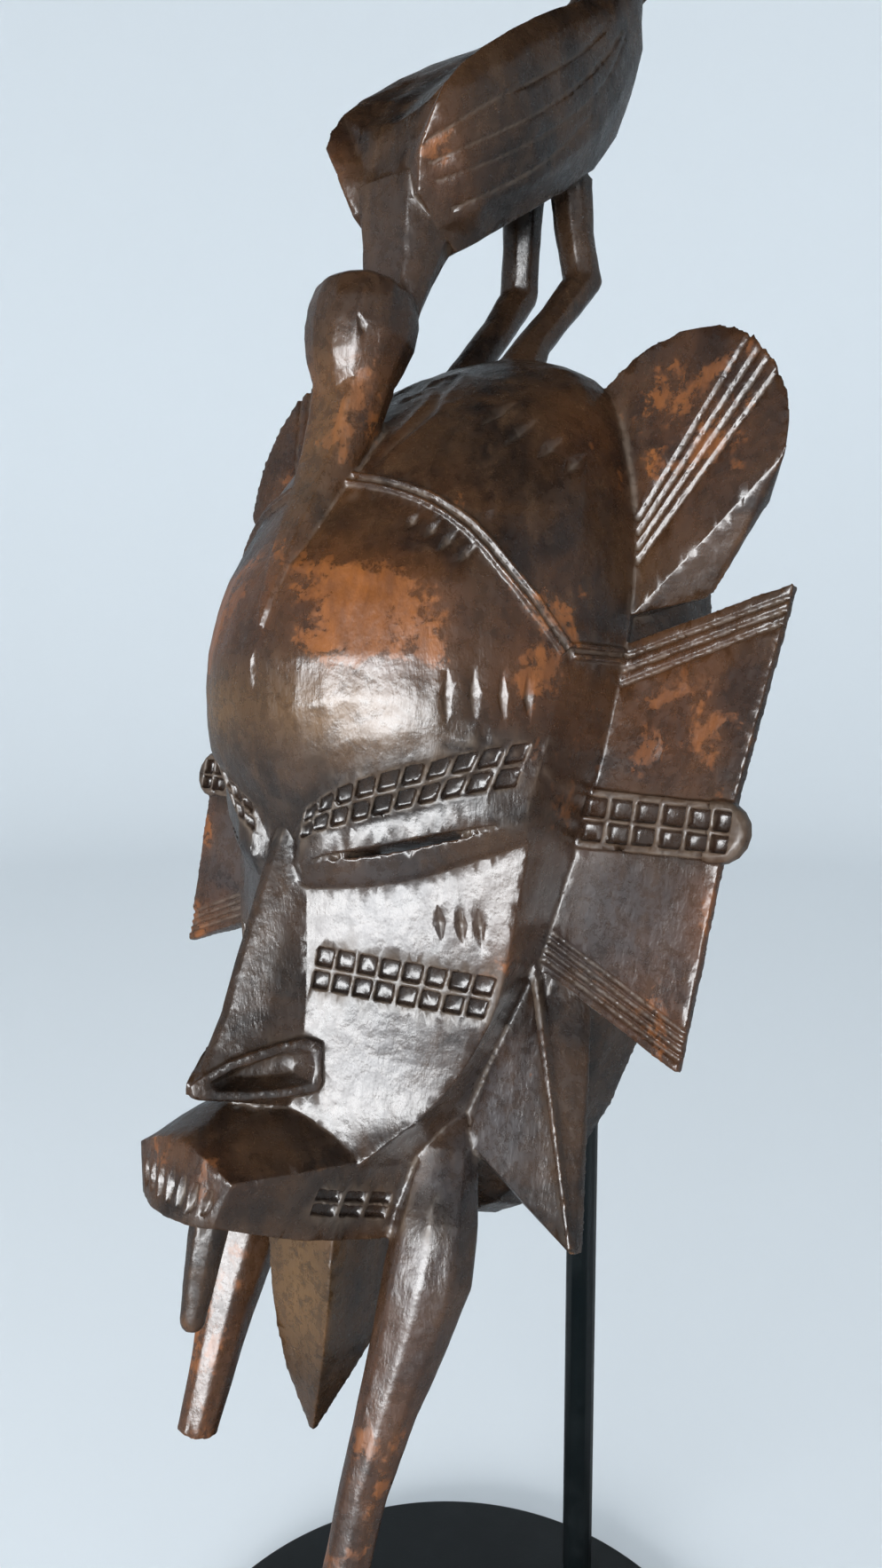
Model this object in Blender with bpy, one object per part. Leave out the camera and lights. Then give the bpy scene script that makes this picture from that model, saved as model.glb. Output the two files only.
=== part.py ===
"""Senufo kpelie mask with a hornbill on its crown, held on a rod that stands in a round plate.

The mask is carved from one block, so it is one solid. It is drawn upright in its own frame, in
millimetres: X to the mask's left, Y to the back, Z up, with the origin between the two wing knobs,
on the front plane of the side wings. It then leans back and hangs in front of the rod.
"""

import math

import bmesh
import bpy
from mathutils import Vector

MM = 0.001
GAP = 0.3

# The stand
DISC_RADIUS = 85.0
DISC_THICKNESS = 6.0
DISC_BEVEL = 1.0
ROD_DIAMETER = 9.5
ROD_BEHIND_CENTRE = 64.0
ARM_BEND_RADIUS = 12.0
ARM_REACH = 37.0
ARM_HEIGHT = 354.3

# Where the mask hangs
LEAN_BACK_DEG = 14.1
KNOB_HEIGHT = 276.0
KNOBS_BEFORE_CENTRE = 11.0

# Head: half width at the wing plane, by height
HEAD_WIDTH = (
    (-104, 15), (-92, 23), (-85, 27.5), (-76, 31), (-64, 35.5), (-49, 41.5), (-35, 46.5), (-5, 52.3),
    (14, 55), (45, 56.5), (62, 55), (75, 52), (93, 45.5), (100, 41.5), (105, 37), (109, 30), (112, 22.5),
    (114.5, 14), (116.2, 5),
)
# Forehead: how far the middle stands before the wing plane, by height
FOREHEAD_DEPTH = (
    (-20, 40), (-10, 47), (0, 54), (12, 59), (24, 61), (38, 59.5), (53, 54), (74, 44), (90, 33),
    (103, 20), (111, 10), (116.2, 1.5),
)
# Cheek: depth in the middle and at the crisp outer edge, and half width at that edge
CHEEK_MIDDLE = ((-110, 24), (-98, 30), (-88, 36), (-70, 40), (-45, 41), (-20, 43), (0, 45))
CHEEK_EDGE_DEPTH = (
    (-104, 8), (-95, 20), (-86, 27), (-80, 22), (-73, 17), (-62, 13), (-49, 12), (-33, 14), (-5, 17),
    (12, 18),
)
CHEEK_EDGE_WIDTH = (
    (-104, 13), (-95, 21), (-86, 26), (-80, 30), (-73, 34.5), (-62, 39.5), (-49, 44.5), (-33, 48), (-5, 51),
    (12, 52.5),
)
CHEEK_ROUNDNESS = 1.3

# Lines across the eye: the brow's height by distance from the middle, the others by share of the half width
BROW_LINE = ((0, -14.5), (6.7, -11.3), (22.7, -2.7), (36.5, 4.2), (46.1, 10.6), (51.9, 16.4))
BAND_LINE = ((0, -20), (0.14, -18), (0.36, -13.7), (0.6, -8), (0.84, -2.2), (1, 1.6))
SLIT_LINE = ((0, -23.5), (0.19, -22.4), (0.3, -20.2), (0.56, -15.7), (0.82, -9.8), (1, -5.4))
LID_LINE = ((0, -28), (0.14, -27.5), (0.34, -25.6), (0.56, -22.4), (0.78, -16.4), (1, -9.6))
LID_PROUD = 6.5
BAND_PROUD = 7.0
LID_STEP = 2.6
SLIT_OPENING = 1.8
SLIT_SHARES = (0.24, 0.93)
LIDS_START, LIDS_FULL = 0.06, 0.24
LIDS_FADE, LIDS_END = 0.74, 0.35

# Marks cut in the face, left side: both ends as (x, z)
CELL_DEPTH = 1.5
CELL_RIB = 0.14
BROW_CELLS = 10
CHEEK_CELLS = 8
CHEEK_BAND_ROWS = ((-50.4, -45.2), (-45.2, -39.8))
CROWN_NICKS = (
    ((27.8, 81.3), (32.1, 93.6)), ((35.3, 76.1), (37.9, 89.1)), ((42, 75), (43.5, 84.6)),
    ((46.6, 72.1), (47.1, 81.2)),
)
BROW_NICKS = (
    ((26.6, 52.3), (28.1, 58.6)), ((30.5, 49.8), (33.1, 58.2)), ((34.2, 47.5), (36.8, 56.3)),
    ((38, 45.5), (40.6, 53.6)),
)
TEMPLE_MARKS = (
    ((40.7, 25.4), (41.1, 11)), ((44.2, 26.5), (44.7, 12.2)), ((47.6, 27.6), (48.2, 12.9)),
    ((50.4, 27.6), (50.8, 14.6)),
)
CHEEK_MARKS = (((34.2, -25), (35.7, -35.4)), ((38.2, -24.6), (39.6, -35.4)), ((41.7, -24.2), (43, -35.2)))
FOREHEAD_MARK = ((0, 26.5), (0, 11))
NICK_WIDTH, NICK_DEPTH = 3.4, 1.5
MARK_WIDTH, MARK_DEPTH = 2.8, 1.4
DIADEM = ((7, 66.4), (16, 65), (27, 62), (37.5, 56.3), (46.2, 47), (51.5, 39), (53.6, 33.6))
DIADEM_END_HEIGHTS, DIADEM_END_TURNS = (33.8, 36.6), (74, 79, 84, 89)
DIADEM_WIDTH, DIADEM_HEIGHT, DIADEM_GROOVE = 4.6, 1.0, 1.8

# Nose and nostrils
# Nose by height: how far its ridge stands forward, and half its width at the cheek
NOSE = (
    (-77, 55.5, 9), (-74.5, 57, 10), (-71.5, 55.4, 10.6), (-66, 53.2, 10.4), (-58, 51.0, 10),
    (-45, 49.4, 9.4),
    (-30, 47.2, 8.6), (-16, 44.6, 7.4), (-8.5, 42.5, 6),
)
NOSE_RIDGE_HALF, NOSE_BACK = 1.3, -30.0
# Nostrils: the outer face runs back from its front end (x, y), with places on it as (distance, height)
NOSTRIL_START, NOSTRIL_FACE = (0.8, -57.6), (0.524, 0.852)
NOSTRIL_OUTLINE = (
    (-0.4, -73.6), (6.5, -68.1), (12.9, -65.2), (18, -62.5), (23.7, -60.7), (27.4, -61.6), (29, -70.6),
    (28.4, -72.2), (20.5, -74.6), (11.9, -76.1), (3.2, -76.8), (0.1, -76.2),
)
NOSTRIL_ROOT = ((3, -34, -62), (10.5, -30, -62), (10.5, -30, -73), (2, -34, -78))
CAVITY_OUTLINE = (
    (1.6, -73.9), (6.8, -69.7), (12.9, -67.0), (18, -64.5), (23.4, -62.5), (26.6, -63.2), (28, -66.9),
    (27.8, -70.8), (20.1, -73.1), (11.9, -74.6), (3.8, -75.4),
)
CAVITY_DEPTH, CAVITY_NARROWS, CAVITY_MIDDLE = 6.5, 0.5, (18.5, -69)

# Muzzle: measures by distance before the wing plane
MUZZLE_TOP_HALF = ((-4, 27), (30, 25.2), (55, 16.8))
MUZZLE_BOTTOM_HALF = ((-4, 24), (30, 20.5), (55, 12.9))
MUZZLE_TOP_MIDDLE = ((-4, -71), (30, -74.5), (42, -76.9), (50, -81.4), (57, -87.8))
MUZZLE_TOP_EDGE = ((-4, -84), (30, -86.2), (55, -91))
MUZZLE_UNDERSIDE = ((-4, -106), (30, -104.5), (55, -101.4))
MUZZLE_FRONT, MUZZLE_BULGE = 55.0, 2.6
TOOTH_GROOVES = 7
JAW_CELL_Y, JAW_CELL_TOP, JAW_CELL_LOW = (-35.5, -12.0), (-91.6, -93.8), (-98.4, -100.8)

# What hangs below the chin: (x, y, z, radius) down the left leg
LEG = (
    (26.5, 3, -70, 3.2), (29, -1, -82, 7.6), (31, -3, -98, 10.0), (31.5, -3.5, -112, 10.8),
    (31, -5.5, -126, 9.2),
    (30, -8.5, -142, 7.2), (29, -11, -160, 5.8), (28.5, -12.5, -184, 5.2),
)
RIGHT_LEG_END = -171.0
LEG_SIDES = 9
# Beard by height: half width, how far it reaches forward, and back
BEARD = (
    (-161, 0.7, 0.7, 0.7), (-156.5, 2.4, 2.7, 1.9), (-148, 5.8, 6.6, 4.2), (-137, 8.8, 10.3, 8.2),
    (-127, 10.4, 13, 12),
    (-115, 11.4, 15.6, 16.5), (-100, 12.2, 17.8, 19.5),
)
PEG = ((0.4, -44.5, -98, 4.9), (0.4, -45, -108, 4.6), (0.3, -45, -127.5, 3.0), (0.3, -45, -129, 1.9))

# The bowl behind the wing plane, and its hollow
BOWL_DEPTH = 30.0
BOWL_RIM = (
    (-107.5, 9), (-103.5, 23.5), (-99, 31), (-90, 40), (-79, 47), (-67, 52.8), (-50, 57.5), (-20, 61.3),
    (20, 62.5),
    (50, 61), (66, 57.5), (80, 50), (91, 39), (98, 26), (101.8, 10),
)
BOWL_MIDDLE = -3.0
BOWL_STEPS = ((0.6, 0.86), (9.0, 0.93), (18.0, 0.985), (30.0, 1.0))
WALL = 8.5

# Left wing: corners of the front face, and the band of sunk cells that ends in a knob
WING_CORNERS = ((46, 36.4), (95.4, 52.6), (88.4, -1), (85.2, -52.2), (42, -35.2))
WING_THICKNESS_ROOT, WING_THICKNESS_EDGE = 11.0, 2.5
WING_BAND_X, WING_BAND_LOW, WING_BAND_HIGH = (47.0, 88.5), (-8.5, -7.0), (5.4, 4.8)
WING_CELL_EDGES = (51.8, 59.1, 65.8, 72.6, 79.2, 85.6, 90.4)
WING_CELL_MIDDLE, WING_BAND_RIM = -1.5, 1.1
WING_BAND_PROUD = 1.0
KNOB_CENTRE, KNOB_RADIUS = (86.7, -1.1), 7.0
TOP_GROOVES, TOP_PITCH = 3, (3.4, 2.6)
LOW_GROOVES, LOW_PITCH = 4, (2.3, 1.95)
WING_GROOVE_WIDTH, WING_GROOVE_DEPTH = 1.5, 1.1

# Left lobe: rounded outline, the foot of its bevelled lower side, and its grooves
LOBE_OUTLINE = (
    (36, 100.5), (40.5, 105.6), (47, 111.3), (58, 115), (68.5, 114.6), (76.8, 110.6), (83.2, 103.8),
    (87.7, 95.2),
    (89, 89), (89.2, 81.5),
)
LOBE_FOLD_END, LOBE_ROOT, LOBE_FOOT = (57, 46.5), (44, 48), ((83, 73.5), (77.5, 63), (72.5, 52.5))
LOBE_THICKNESS, LOBE_BACK_INSET = 7.5, 5.5
LOBE_GROOVES = (
    ((77, 112), (54, 69)), ((80.5, 109.5), (54.5, 65.5)), ((83.5, 107), (55, 62)),
    ((86, 103), (55.5, 58.5))
)
RIGHT_LOBE_GROOVES = (((71, 122), (63, 66)), ((74.5, 121.5), (66.5, 64)), ((78, 120), (70, 62)))
RIGHT_LOBE_HIGHER, RIGHT_LOBE_WIDER = 9.0, 2.5

# Spikes beside the chin, left one
SPIKE_TIP, SPIKE_RIDGE_TOP = (66.6, 1.0, -96.5), (45.5, -1.0, -36)
SPIKE_CORNERS = ((36.5, -0.5, -67), (34.4, -0.5, -80), (31, 7, -84), (56, 9, -40), (30, 6, -60))
SPIKE_RIB_WIDTH, SPIKE_RIB_HEIGHT = 2.4, 1.3

# Hornbill: half sections of the body across its axis, from the back's middle over the wing's crisp upper
# edge to the belly's, as (x, height), each after its distance along the axis. The first two bend forward,
# and their points say how far along each is
BIRD_START, BIRD_END = (0, -48, 134), (0, 14, 224)
BIRD_SECTIONS = (
    (0, (0, 3.5, 6), (8, 4.5, 7), (19.3, 15.8, 17), (18.5, 13.5, 12), (14, 7.5, 6.5), (11, -0.8, 2.3),
    (11, -10, 4),
     (10.5, -17, 6), (0, -19, 7)),
    (0, (0, 11.5, 18), (11, 13, 19), (20.3, 16.8, 25), (21.5, 12.5, 18), (20, 6, 14), (19, -2, 12),
    (18, -11, 12.5),
     (12.5, -18.5, 13), (0, -20.5, 14)),
    (33, (0, 12.3), (12, 14), (20.5, 16.5), (23.2, 11.8), (24.8, 5), (25.2, -3.5), (22.8, -14.4),
    (14.6, -21.6), (0, -23.4)),
    (49, (0, 11.8), (13, 13.4), (20.5, 14.9), (23.4, 10.3), (25, 4), (25.6, -5), (23.4, -16), (15.5, -24.2),
    (0, -26)),
    (64, (0, 10.6), (14, 11.8), (20.5, 12.6), (23.2, 8.2), (24.8, 2.5), (25.2, -6), (23.2, -16.5),
    (16, -25.8), (0, -27.5)),
    (78, (0, 8.3), (15, 9.2), (20.3, 9.6), (22.4, 6), (23.8, 1), (24, -6), (22.4, -14.5), (17, -23.6),
    (0, -25)),
    (90, (0, 6.4), (16, 7), (20, 7.2), (21.8, 4.2), (23, 0), (22.8, -5), (21.2, -11.5), (18, -18),
    (0, -19.5)),
    (100, (0, 5), (17, 5.6), (20, 5.7), (21.4, 4), (22.2, 1.5), (22, -2), (21, -6.5), (19.5, -11),
    (0, -11.5)),
    (109, (0, 4.4), (18, 4.8), (20, 4.8), (20.6, 4), (20.8, 3), (20.6, 2), (20, 0.8), (19, -0.2),
    (0, -0.5)),
)
NECK = (
    (-37, 141, 11.6, 15.4), (-37.2, 134, 11.2, 13.0), (-37.6, 127, 10.6, 9.6), (-37.9, 120, 9.8, 7),
    (-38.1, 113, 9, 5.2),
    (-38.8, 105, 8.6, 5), (-42, 98, 7, 5),
)
BIRD_HEAD = (
    (-46.4, 114.3, 9.2, 9.2), (-46.5, 112.2, 12.2, 12.2), (-46.6, 107, 13.4, 13.4), (-46.6, 101, 13.2, 13.2),
    (-46.5, 95, 11.6, 11.8), (-46.2, 91, 10.2, 9.8), (-45.9, 87, 8.8, 7.4),
)
EYE_NICK, EYE_FACING = ((8.2, -56.6, 103.2), (11.6, -52.8, 95.6)), (0.74, -0.67, 0)
BEAK = (
    (-46, 103, 9.4, 9.4), (-45.8, 90, 9.9, 9.4), (-46.8, 80, 8.9, 8.5), (-48.8, 68, 7.4, 7.2),
    (-51.2, 59, 6.2, 6.2),
    (-54.2, 50, 5.0, 5.2), (-57.2, 40, 3.5, 3.9), (-59.4, 32, 2.0, 2.6), (-60.2, 28, 0.9, 1.4),
)
BIRD_LEG = (
    (8, 10, 172, 6.2), (9.2, 14, 158, 5.6), (11.2, 18.5, 146, 5.6), (10.2, 12, 134, 5.2),
    (9.4, 4, 121, 5.3), (9.5, 0, 111, 7.0),
)
TAIL_FOOT, TAIL_TOP, TAIL_THICKNESS = (14, -2, 200), (17, 26.5, 246), 5.0

FACE_COLUMNS = 18

WOOD = ("carved_wood", (0.045, 0.022, 0.012, 1), 0.38, 0.0)
BLACK_METAL = ("black_metal", (0.006, 0.008, 0.009, 1), 0.42, 0.6)


def smooth(stations, at):
    """Value at one place along a few named stations, on a rounded curve that never overshoots."""
    if at <= stations[0][0]:
        return float(stations[0][1])
    if at >= stations[-1][0]:
        return float(stations[-1][1])
    slopes = [(b[1] - a[1]) / (b[0] - a[0]) for a, b in zip(stations, stations[1:])]
    tangents = [slopes[0]]
    for before, after in zip(slopes, slopes[1:]):
        tangents.append(0.0 if before * after <= 0 else 2 * before * after / (before + after))
    tangents.append(slopes[-1])
    for (x0, y0), (x1, y1), m0, m1 in zip(stations, stations[1:], tangents, tangents[1:]):
        if at <= x1:
            width = x1 - x0
            t = (at - x0) / width
            rise = y0 * (1 + 2 * t) * (1 - t) ** 2 + y1 * t * t * (3 - 2 * t)
            return rise + width * t * (1 - t) * (m0 * (1 - t) - m1 * t)


def mix(a, b, t):
    return a + (b - a) * t


def span(low, high, count):
    return [mix(low, high, i / (count - 1)) for i in range(count)]


def mirrored(points):
    return [Vector((-p[0], p[1], p[2])) for p in points]


def both_sides(points):
    return [[Vector(p) for p in points], mirrored(points)]


# Closed bodies

def shape(name, bm):
    """Turns a bmesh in millimetres into an object in metres, with its faces pointing out."""
    bmesh.ops.recalc_face_normals(bm, faces=bm.faces)
    bmesh.ops.scale(bm, vec=Vector((MM, MM, MM)), verts=bm.verts)
    mesh = bpy.data.meshes.new(name)
    bm.to_mesh(mesh)
    bm.free()
    obj = bpy.data.objects.new(name, mesh)
    bpy.context.scene.collection.objects.link(obj)
    return obj


def add_loft(bm, rings, flat_caps=False):
    """Closed body through rings of equally many points, its ends fanned or laid across from side to side."""
    rows = [[bm.verts.new(point) for point in ring] for ring in rings]
    count = len(rows[0])
    for low, high in zip(rows, rows[1:]):
        for i in range(count):
            j = (i + 1) % count
            bm.faces.new((low[i], low[j], high[j], high[i]))
    for row in (rows[0], rows[-1]):
        if count <= 4:
            bm.faces.new(row)
            continue
        if flat_caps:
            for i in range(count // 2 - 1):
                bm.faces.new((row[i], row[i + 1], row[count - 2 - i], row[count - 1 - i]))
            continue
        middle = bm.verts.new(sum((v.co for v in row), Vector()) / count)
        for i in range(count):
            bm.faces.new((row[i], row[(i + 1) % count], middle))


def lofts(name, bodies, flat_caps=False):
    bm = bmesh.new()
    for rings in bodies:
        add_loft(bm, rings, flat_caps)
    return shape(name, bm)


def add_hull(bm, points):
    """Convex body round a few corner points."""
    part = bmesh.new()
    for point in points:
        part.verts.new(point)
    bmesh.ops.convex_hull(part, input=part.verts)
    loose = [v for v in part.verts if not v.link_faces]
    bmesh.ops.delete(part, geom=loose, context="VERTS")
    bmesh.ops.dissolve_limit(part, angle_limit=math.radians(0.3), verts=part.verts, edges=part.edges)
    mesh = bpy.data.meshes.new("hull")
    part.to_mesh(mesh)
    part.free()
    bm.from_mesh(mesh)
    bpy.data.meshes.remove(mesh)


def hulls(name, bodies):
    bm = bmesh.new()
    for points in bodies:
        add_hull(bm, points)
    return shape(name, bm)


def limb_rings(stations, sides, side=1, end=None):
    """Rings of a limb through (x, y, z, radius) stations, faceted like knife work."""
    rings = []
    for x, y, z, radius in stations:
        if end is not None:
            z = max(z, end)
        angles = [math.tau * (i + 0.5) / sides for i in range(sides)]
        rings.append(
            [Vector((side * (x + radius * math.cos(a)), y + radius * math.sin(a), z)) for a in angles]
        )
    return rings


def section_rings(stations, sides=12, flat_front=0.72):
    """Rings of the neck or beak through (y, z, half width, half depth), with a flat facet in front."""
    points = [Vector((0, y, z)) for y, z, _, _ in stations]
    rings = []
    for i, (_, _, half_width, half_depth) in enumerate(stations):
        run = (points[min(i + 1, len(points) - 1)] - points[max(i - 1, 0)]).normalized()
        back = Vector((1, 0, 0)).cross(run)
        if back.y < 0:
            back = -back
        ring = []
        for k in range(sides):
            angle = math.tau * (k + 0.5) / sides
            reach = max(math.sin(angle), -flat_front)
            ring.append(
                points[i] + Vector((half_width * math.cos(angle), 0, 0)) + back * half_depth * reach
            )
        rings.append(ring)
    return rings


# The face and crown

def dome_depth(x, z):
    """How far the forehead stands forward at a place."""
    share = min(abs(x) / smooth(HEAD_WIDTH, z), 1.0)
    return smooth(FOREHEAD_DEPTH, z) * math.sqrt(1 - share * share)


def cheek_depth(share, z):
    edge = smooth(CHEEK_EDGE_DEPTH, z)
    return edge + (smooth(CHEEK_MIDDLE, z) - edge) * (1 - share ** CHEEK_ROUNDNESS)


def cheek_point(share, z, proud=0.0):
    """A place on the cheek, standing proud by some millimetres."""
    x = smooth(CHEEK_EDGE_WIDTH, z) * share
    return Vector((x, -cheek_depth(abs(share), z) - proud, z))


def dome_point(share, z):
    """A place on the forehead, from one outer edge at -1 to the other at 1."""
    depth = smooth(FOREHEAD_DEPTH, z)
    edge = min(smooth(CHEEK_EDGE_DEPTH, min(z, 12)), 0.35 * depth)
    turn = share * math.acos(edge / depth)
    return Vector((smooth(HEAD_WIDTH, z) * math.sin(turn), -depth * math.cos(turn), z))


def brow_height(share):
    """Height of the line where the forehead ends over the eye band, by share across."""
    return smooth(BROW_LINE, abs(dome_point(share, 0).x))


def brow_point(share):
    return dome_point(share, brow_height(share))


def lids(share):
    """How much the lids and the eye band stand out: nothing beside the nose, then fully, less outside."""
    t = min(max((abs(share) - LIDS_START) / (LIDS_FULL - LIDS_START), 0.0), 1.0)
    outer = max(0.0, (abs(share) - LIDS_FADE) / (1 - LIDS_FADE))
    return t * t * (3 - 2 * t) * mix(1.0, LIDS_END, outer * outer)


def band_point(share):
    """A place on the lower line of the eye band."""
    return cheek_point(share, smooth(BAND_LINE, abs(share)), BAND_PROUD * lids(share))


def slit_point(share):
    return cheek_point(share, smooth(SLIT_LINE, abs(share)), LID_PROUD * lids(share))


def face_rows():
    """Rows of places across the face, from chin to crown: each a function of the share across."""
    cheek_top, first_flat = -33, 34
    rows = [lambda s, z=z: cheek_point(s, z) for z in (-103, -97, -91, -86)]
    rows += [lambda s, z=z: cheek_point(s, z) for z in span(-81, cheek_top, 9)]
    rows.append(lambda s: cheek_point(s, smooth(LID_LINE, abs(s)) - 0.3))
    rows.append(lambda s: cheek_point(s, smooth(LID_LINE, abs(s)) + 0.5, LID_STEP * lids(s)))
    rows += [slit_point, band_point, brow_point]
    for t in (0.2, 0.45, 0.72):
        rows.append(lambda s, t=t: dome_point(s, mix(brow_height(s), first_flat, t)))
    for z in [first_flat] + span(43, 88, 6) + [95, 101, 106, 110, 113, 115, 116.2]:
        rows.append(lambda s, z=z: dome_point(s, z))
    return rows


def head_ring(row):
    """One closed ring round the head: across the face, down the sides and across behind."""
    front = [row(s) for s in span(-1, 1, FACE_COLUMNS)]
    edge = front[-1]
    root = smooth(HEAD_WIDTH, edge.z)
    right = [
        Vector((mix(edge.x, root, 0.62), edge.y * 0.5, edge.z)),
        Vector((root, 0, edge.z)),
        Vector((root * 0.9, 12, edge.z)),
    ]
    return front + right + mirrored(reversed(right))


def bowl_outline(share, depth, less=0.0):
    """The bowl's outline at one depth behind the wing plane, at a share of its full size, less a wall."""
    right = []
    for z, half_width in BOWL_RIM:
        point = Vector((half_width * share, depth, BOWL_MIDDLE + (z - BOWL_MIDDLE) * share))
        run = math.hypot(point.x, (point.z - BOWL_MIDDLE) * 0.5)
        point.x -= less * point.x / run
        point.z -= less * (point.z - BOWL_MIDDLE) * 0.5 / run
        right.append(point)
    return right + mirrored(reversed(right))


def bowl_rings():
    return [bowl_outline(share, depth) for depth, share in BOWL_STEPS]


def hollow_rings():
    """The space behind the face, which follows the front at about the wall's thickness."""
    waist = bowl_outline(0.95, 10, WALL)
    rings = [bowl_outline(1.0, BOWL_DEPTH + 5, WALL), bowl_outline(1.0, BOWL_DEPTH - 10, WALL), waist]
    for share, forward in ((0.9, 0.08), (0.78, 0.42), (0.6, 0.72), (0.35, 0.93), (0.12, 1.0)):
        ring = []
        for point in waist:
            z = BOWL_MIDDLE + (point.z - BOWL_MIDDLE) * share
            widest = smooth(HEAD_WIDTH, z) - WALL
            x = max(-widest, min(point.x * share, widest))
            front = min(smooth(FOREHEAD_DEPTH, max(z, -16)), smooth(CHEEK_MIDDLE, z))
            ring.append(Vector((x, -(front - WALL - 3) * forward, z)))
        rings.append(ring)
    return rings


# Cutters and raised lines

def surface_normal(surface, x, z):
    """Outward normal of a front surface given as y = surface(x, z)."""
    step = 0.5
    dx = (surface(x + step, z) - surface(x - step, z)) / (2 * step)
    dz = (surface(x, z + step) - surface(x, z - step)) / (2 * step)
    return Vector((dx, -1, dz)).normalized()


def dome_surface(x, z):
    return -dome_depth(x, z)


def cheek_surface(x, z):
    return -cheek_depth(min(abs(x) / smooth(CHEEK_EDGE_WIDTH, z), 1.0), z)


def flat_surface(x, z):
    return 0.0


def on_surface(surface, x, z):
    return Vector((x, surface(x, z), z)), surface_normal(surface, x, z)


def nick(surface, start, end, width, depth):
    """Lens-shaped cut between two places on a front surface."""
    (a, normal_a), (b, normal_b) = on_surface(surface, *start), on_surface(surface, *end)
    middle, normal = on_surface(surface, (start[0] + end[0]) / 2, (start[1] + end[1]) / 2)
    across = (b - a).cross(normal).normalized() * width / 2
    lift = 0.5
    points = [a + normal_a * 0.1, b + normal_b * 0.1, middle - normal * depth]
    return points + [
        middle + across * (1 + lift) + normal * lift, middle - across * (1 + lift) + normal * lift
    ]


def groove_rings(path, width, depth, taper=0.0, lift=0.3):
    """V-shaped cut along (point, normal) places, narrowing to its ends by the taper."""
    rings = []
    for i, (point, normal) in enumerate(path):
        before, after = path[max(i - 1, 0)][0], path[min(i + 1, len(path) - 1)][0]
        across = (after - before).cross(normal).normalized()
        share = i / (len(path) - 1)
        narrow = 1 - taper * abs(2 * share - 1) ** 3
        deep, half = depth * narrow, width / 2 * narrow * (1 + lift / depth)
        rings.append(
            [point + across * half + normal * lift, point - across * half + normal * lift,
            point - normal * deep]
        )
    return rings


def band_rings(path, width, height):
    """Low raised band along (point, normal) places, with sloping sides."""
    rings = []
    for i, (point, normal) in enumerate(path):
        before, after = path[max(i - 1, 0)][0], path[min(i + 1, len(path) - 1)][0]
        across = (after - before).cross(normal).normalized() * width / 2
        root = normal * -1.5
        top = normal * height
        rings.append(
            [point - across * 1.1 + root, point + across * 1.1 + root, point + across * 0.7 + top,
            point - across * 0.7 + top]
        )
    return rings


def cell(corners, depth):
    """Sunk square cell: straight through the surface and a little smaller at its floor."""
    middle = sum(corners, Vector()) / 4
    normal = (corners[1] - corners[0]).cross(corners[3] - corners[0]).normalized()
    if normal.y > 0:
        normal = -normal
    mouth = [mix(middle, corner, 1 + CELL_RIB * 0.15) + normal * 0.8 for corner in corners]
    floor = [mix(middle, corner, 1 - CELL_RIB) - normal * depth for corner in corners]
    return [mouth, floor]


def cell_band(low_line, high_line, shares, rows, depth=CELL_DEPTH):
    """Rows of cells between two lines across the face, each line a function of the share across."""
    cells = []
    for s0, s1 in zip(shares, shares[1:]):
        for v0, v1 in zip(rows, rows[1:]):
            s_rib, v_rib = (s1 - s0) * CELL_RIB / 2, (v1 - v0) * CELL_RIB / 2
            corners = []
            for s, v in (
                (s0 + s_rib, v0 + v_rib), (s1 - s_rib, v0 + v_rib), (s1 - s_rib, v1 - v_rib),
                (s0 + s_rib, v1 - v_rib)
            ):
                corners.append(mix(low_line(s), high_line(s), v))
            cells.append(cell(corners, depth))
    return cells


def face_cells():
    brow = cell_band(band_point, brow_point, span(0.15, 0.96, BROW_CELLS + 1), (0.06, 0.5, 0.94))
    (low, middle), (_, high) = CHEEK_BAND_ROWS
    cheek = cell_band(
        lambda s: cheek_point(s, low), lambda s: cheek_point(s, high),
        span(0.23, 0.985, CHEEK_CELLS + 1), (0.0, (middle - low) / (high - low), 1.0),
    )
    return brow + cheek


def wing_band_height(x, heights):
    start, end = WING_BAND_X
    return mix(*heights, (x - start) / (end - start))


def wing_cells():
    """Two rows of cells in the band across the wing."""
    def low(x):
        return Vector((x, -WING_BAND_PROUD, wing_band_height(x, WING_BAND_LOW) + WING_BAND_RIM))

    def middle(x):
        return Vector((x, -WING_BAND_PROUD, WING_CELL_MIDDLE))

    def high(x):
        return Vector((x, -WING_BAND_PROUD, wing_band_height(x, WING_BAND_HIGH) - WING_BAND_RIM))

    return [
        body for lines in ((low, middle), (middle, high))
        for body in cell_band(*lines, WING_CELL_EDGES, (0.0, 1.0), CELL_DEPTH + 0.4)
    ]


def muzzle_side(y, z):
    """A place on the jaw's side."""
    top, bottom = smooth(MUZZLE_TOP_EDGE, -y), smooth(MUZZLE_UNDERSIDE, -y)
    share = (top - z) / (top - bottom)
    return Vector((mix(smooth(MUZZLE_TOP_HALF, -y), smooth(MUZZLE_BOTTOM_HALF, -y), share), y, z))


def jaw_cells():
    shares = span(0, 1, 4)
    low = lambda s: muzzle_side(mix(*JAW_CELL_Y, s), mix(*JAW_CELL_LOW, s))
    high = lambda s: muzzle_side(mix(*JAW_CELL_Y, s), mix(*JAW_CELL_TOP, s))
    return cell_band(low, high, shares, (0.0, 0.5, 1.0))


def face_marks():
    marks = [nick(dome_surface, *ends, NICK_WIDTH * 1.15, NICK_DEPTH) for ends in CROWN_NICKS]
    marks += [nick(dome_surface, *ends, NICK_WIDTH * 0.85, NICK_DEPTH) for ends in BROW_NICKS]
    marks += [nick(dome_surface, *ends, MARK_WIDTH, MARK_DEPTH) for ends in TEMPLE_MARKS]
    marks += [nick(cheek_surface, *ends, MARK_WIDTH, MARK_DEPTH) for ends in CHEEK_MARKS]
    return marks


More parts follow.
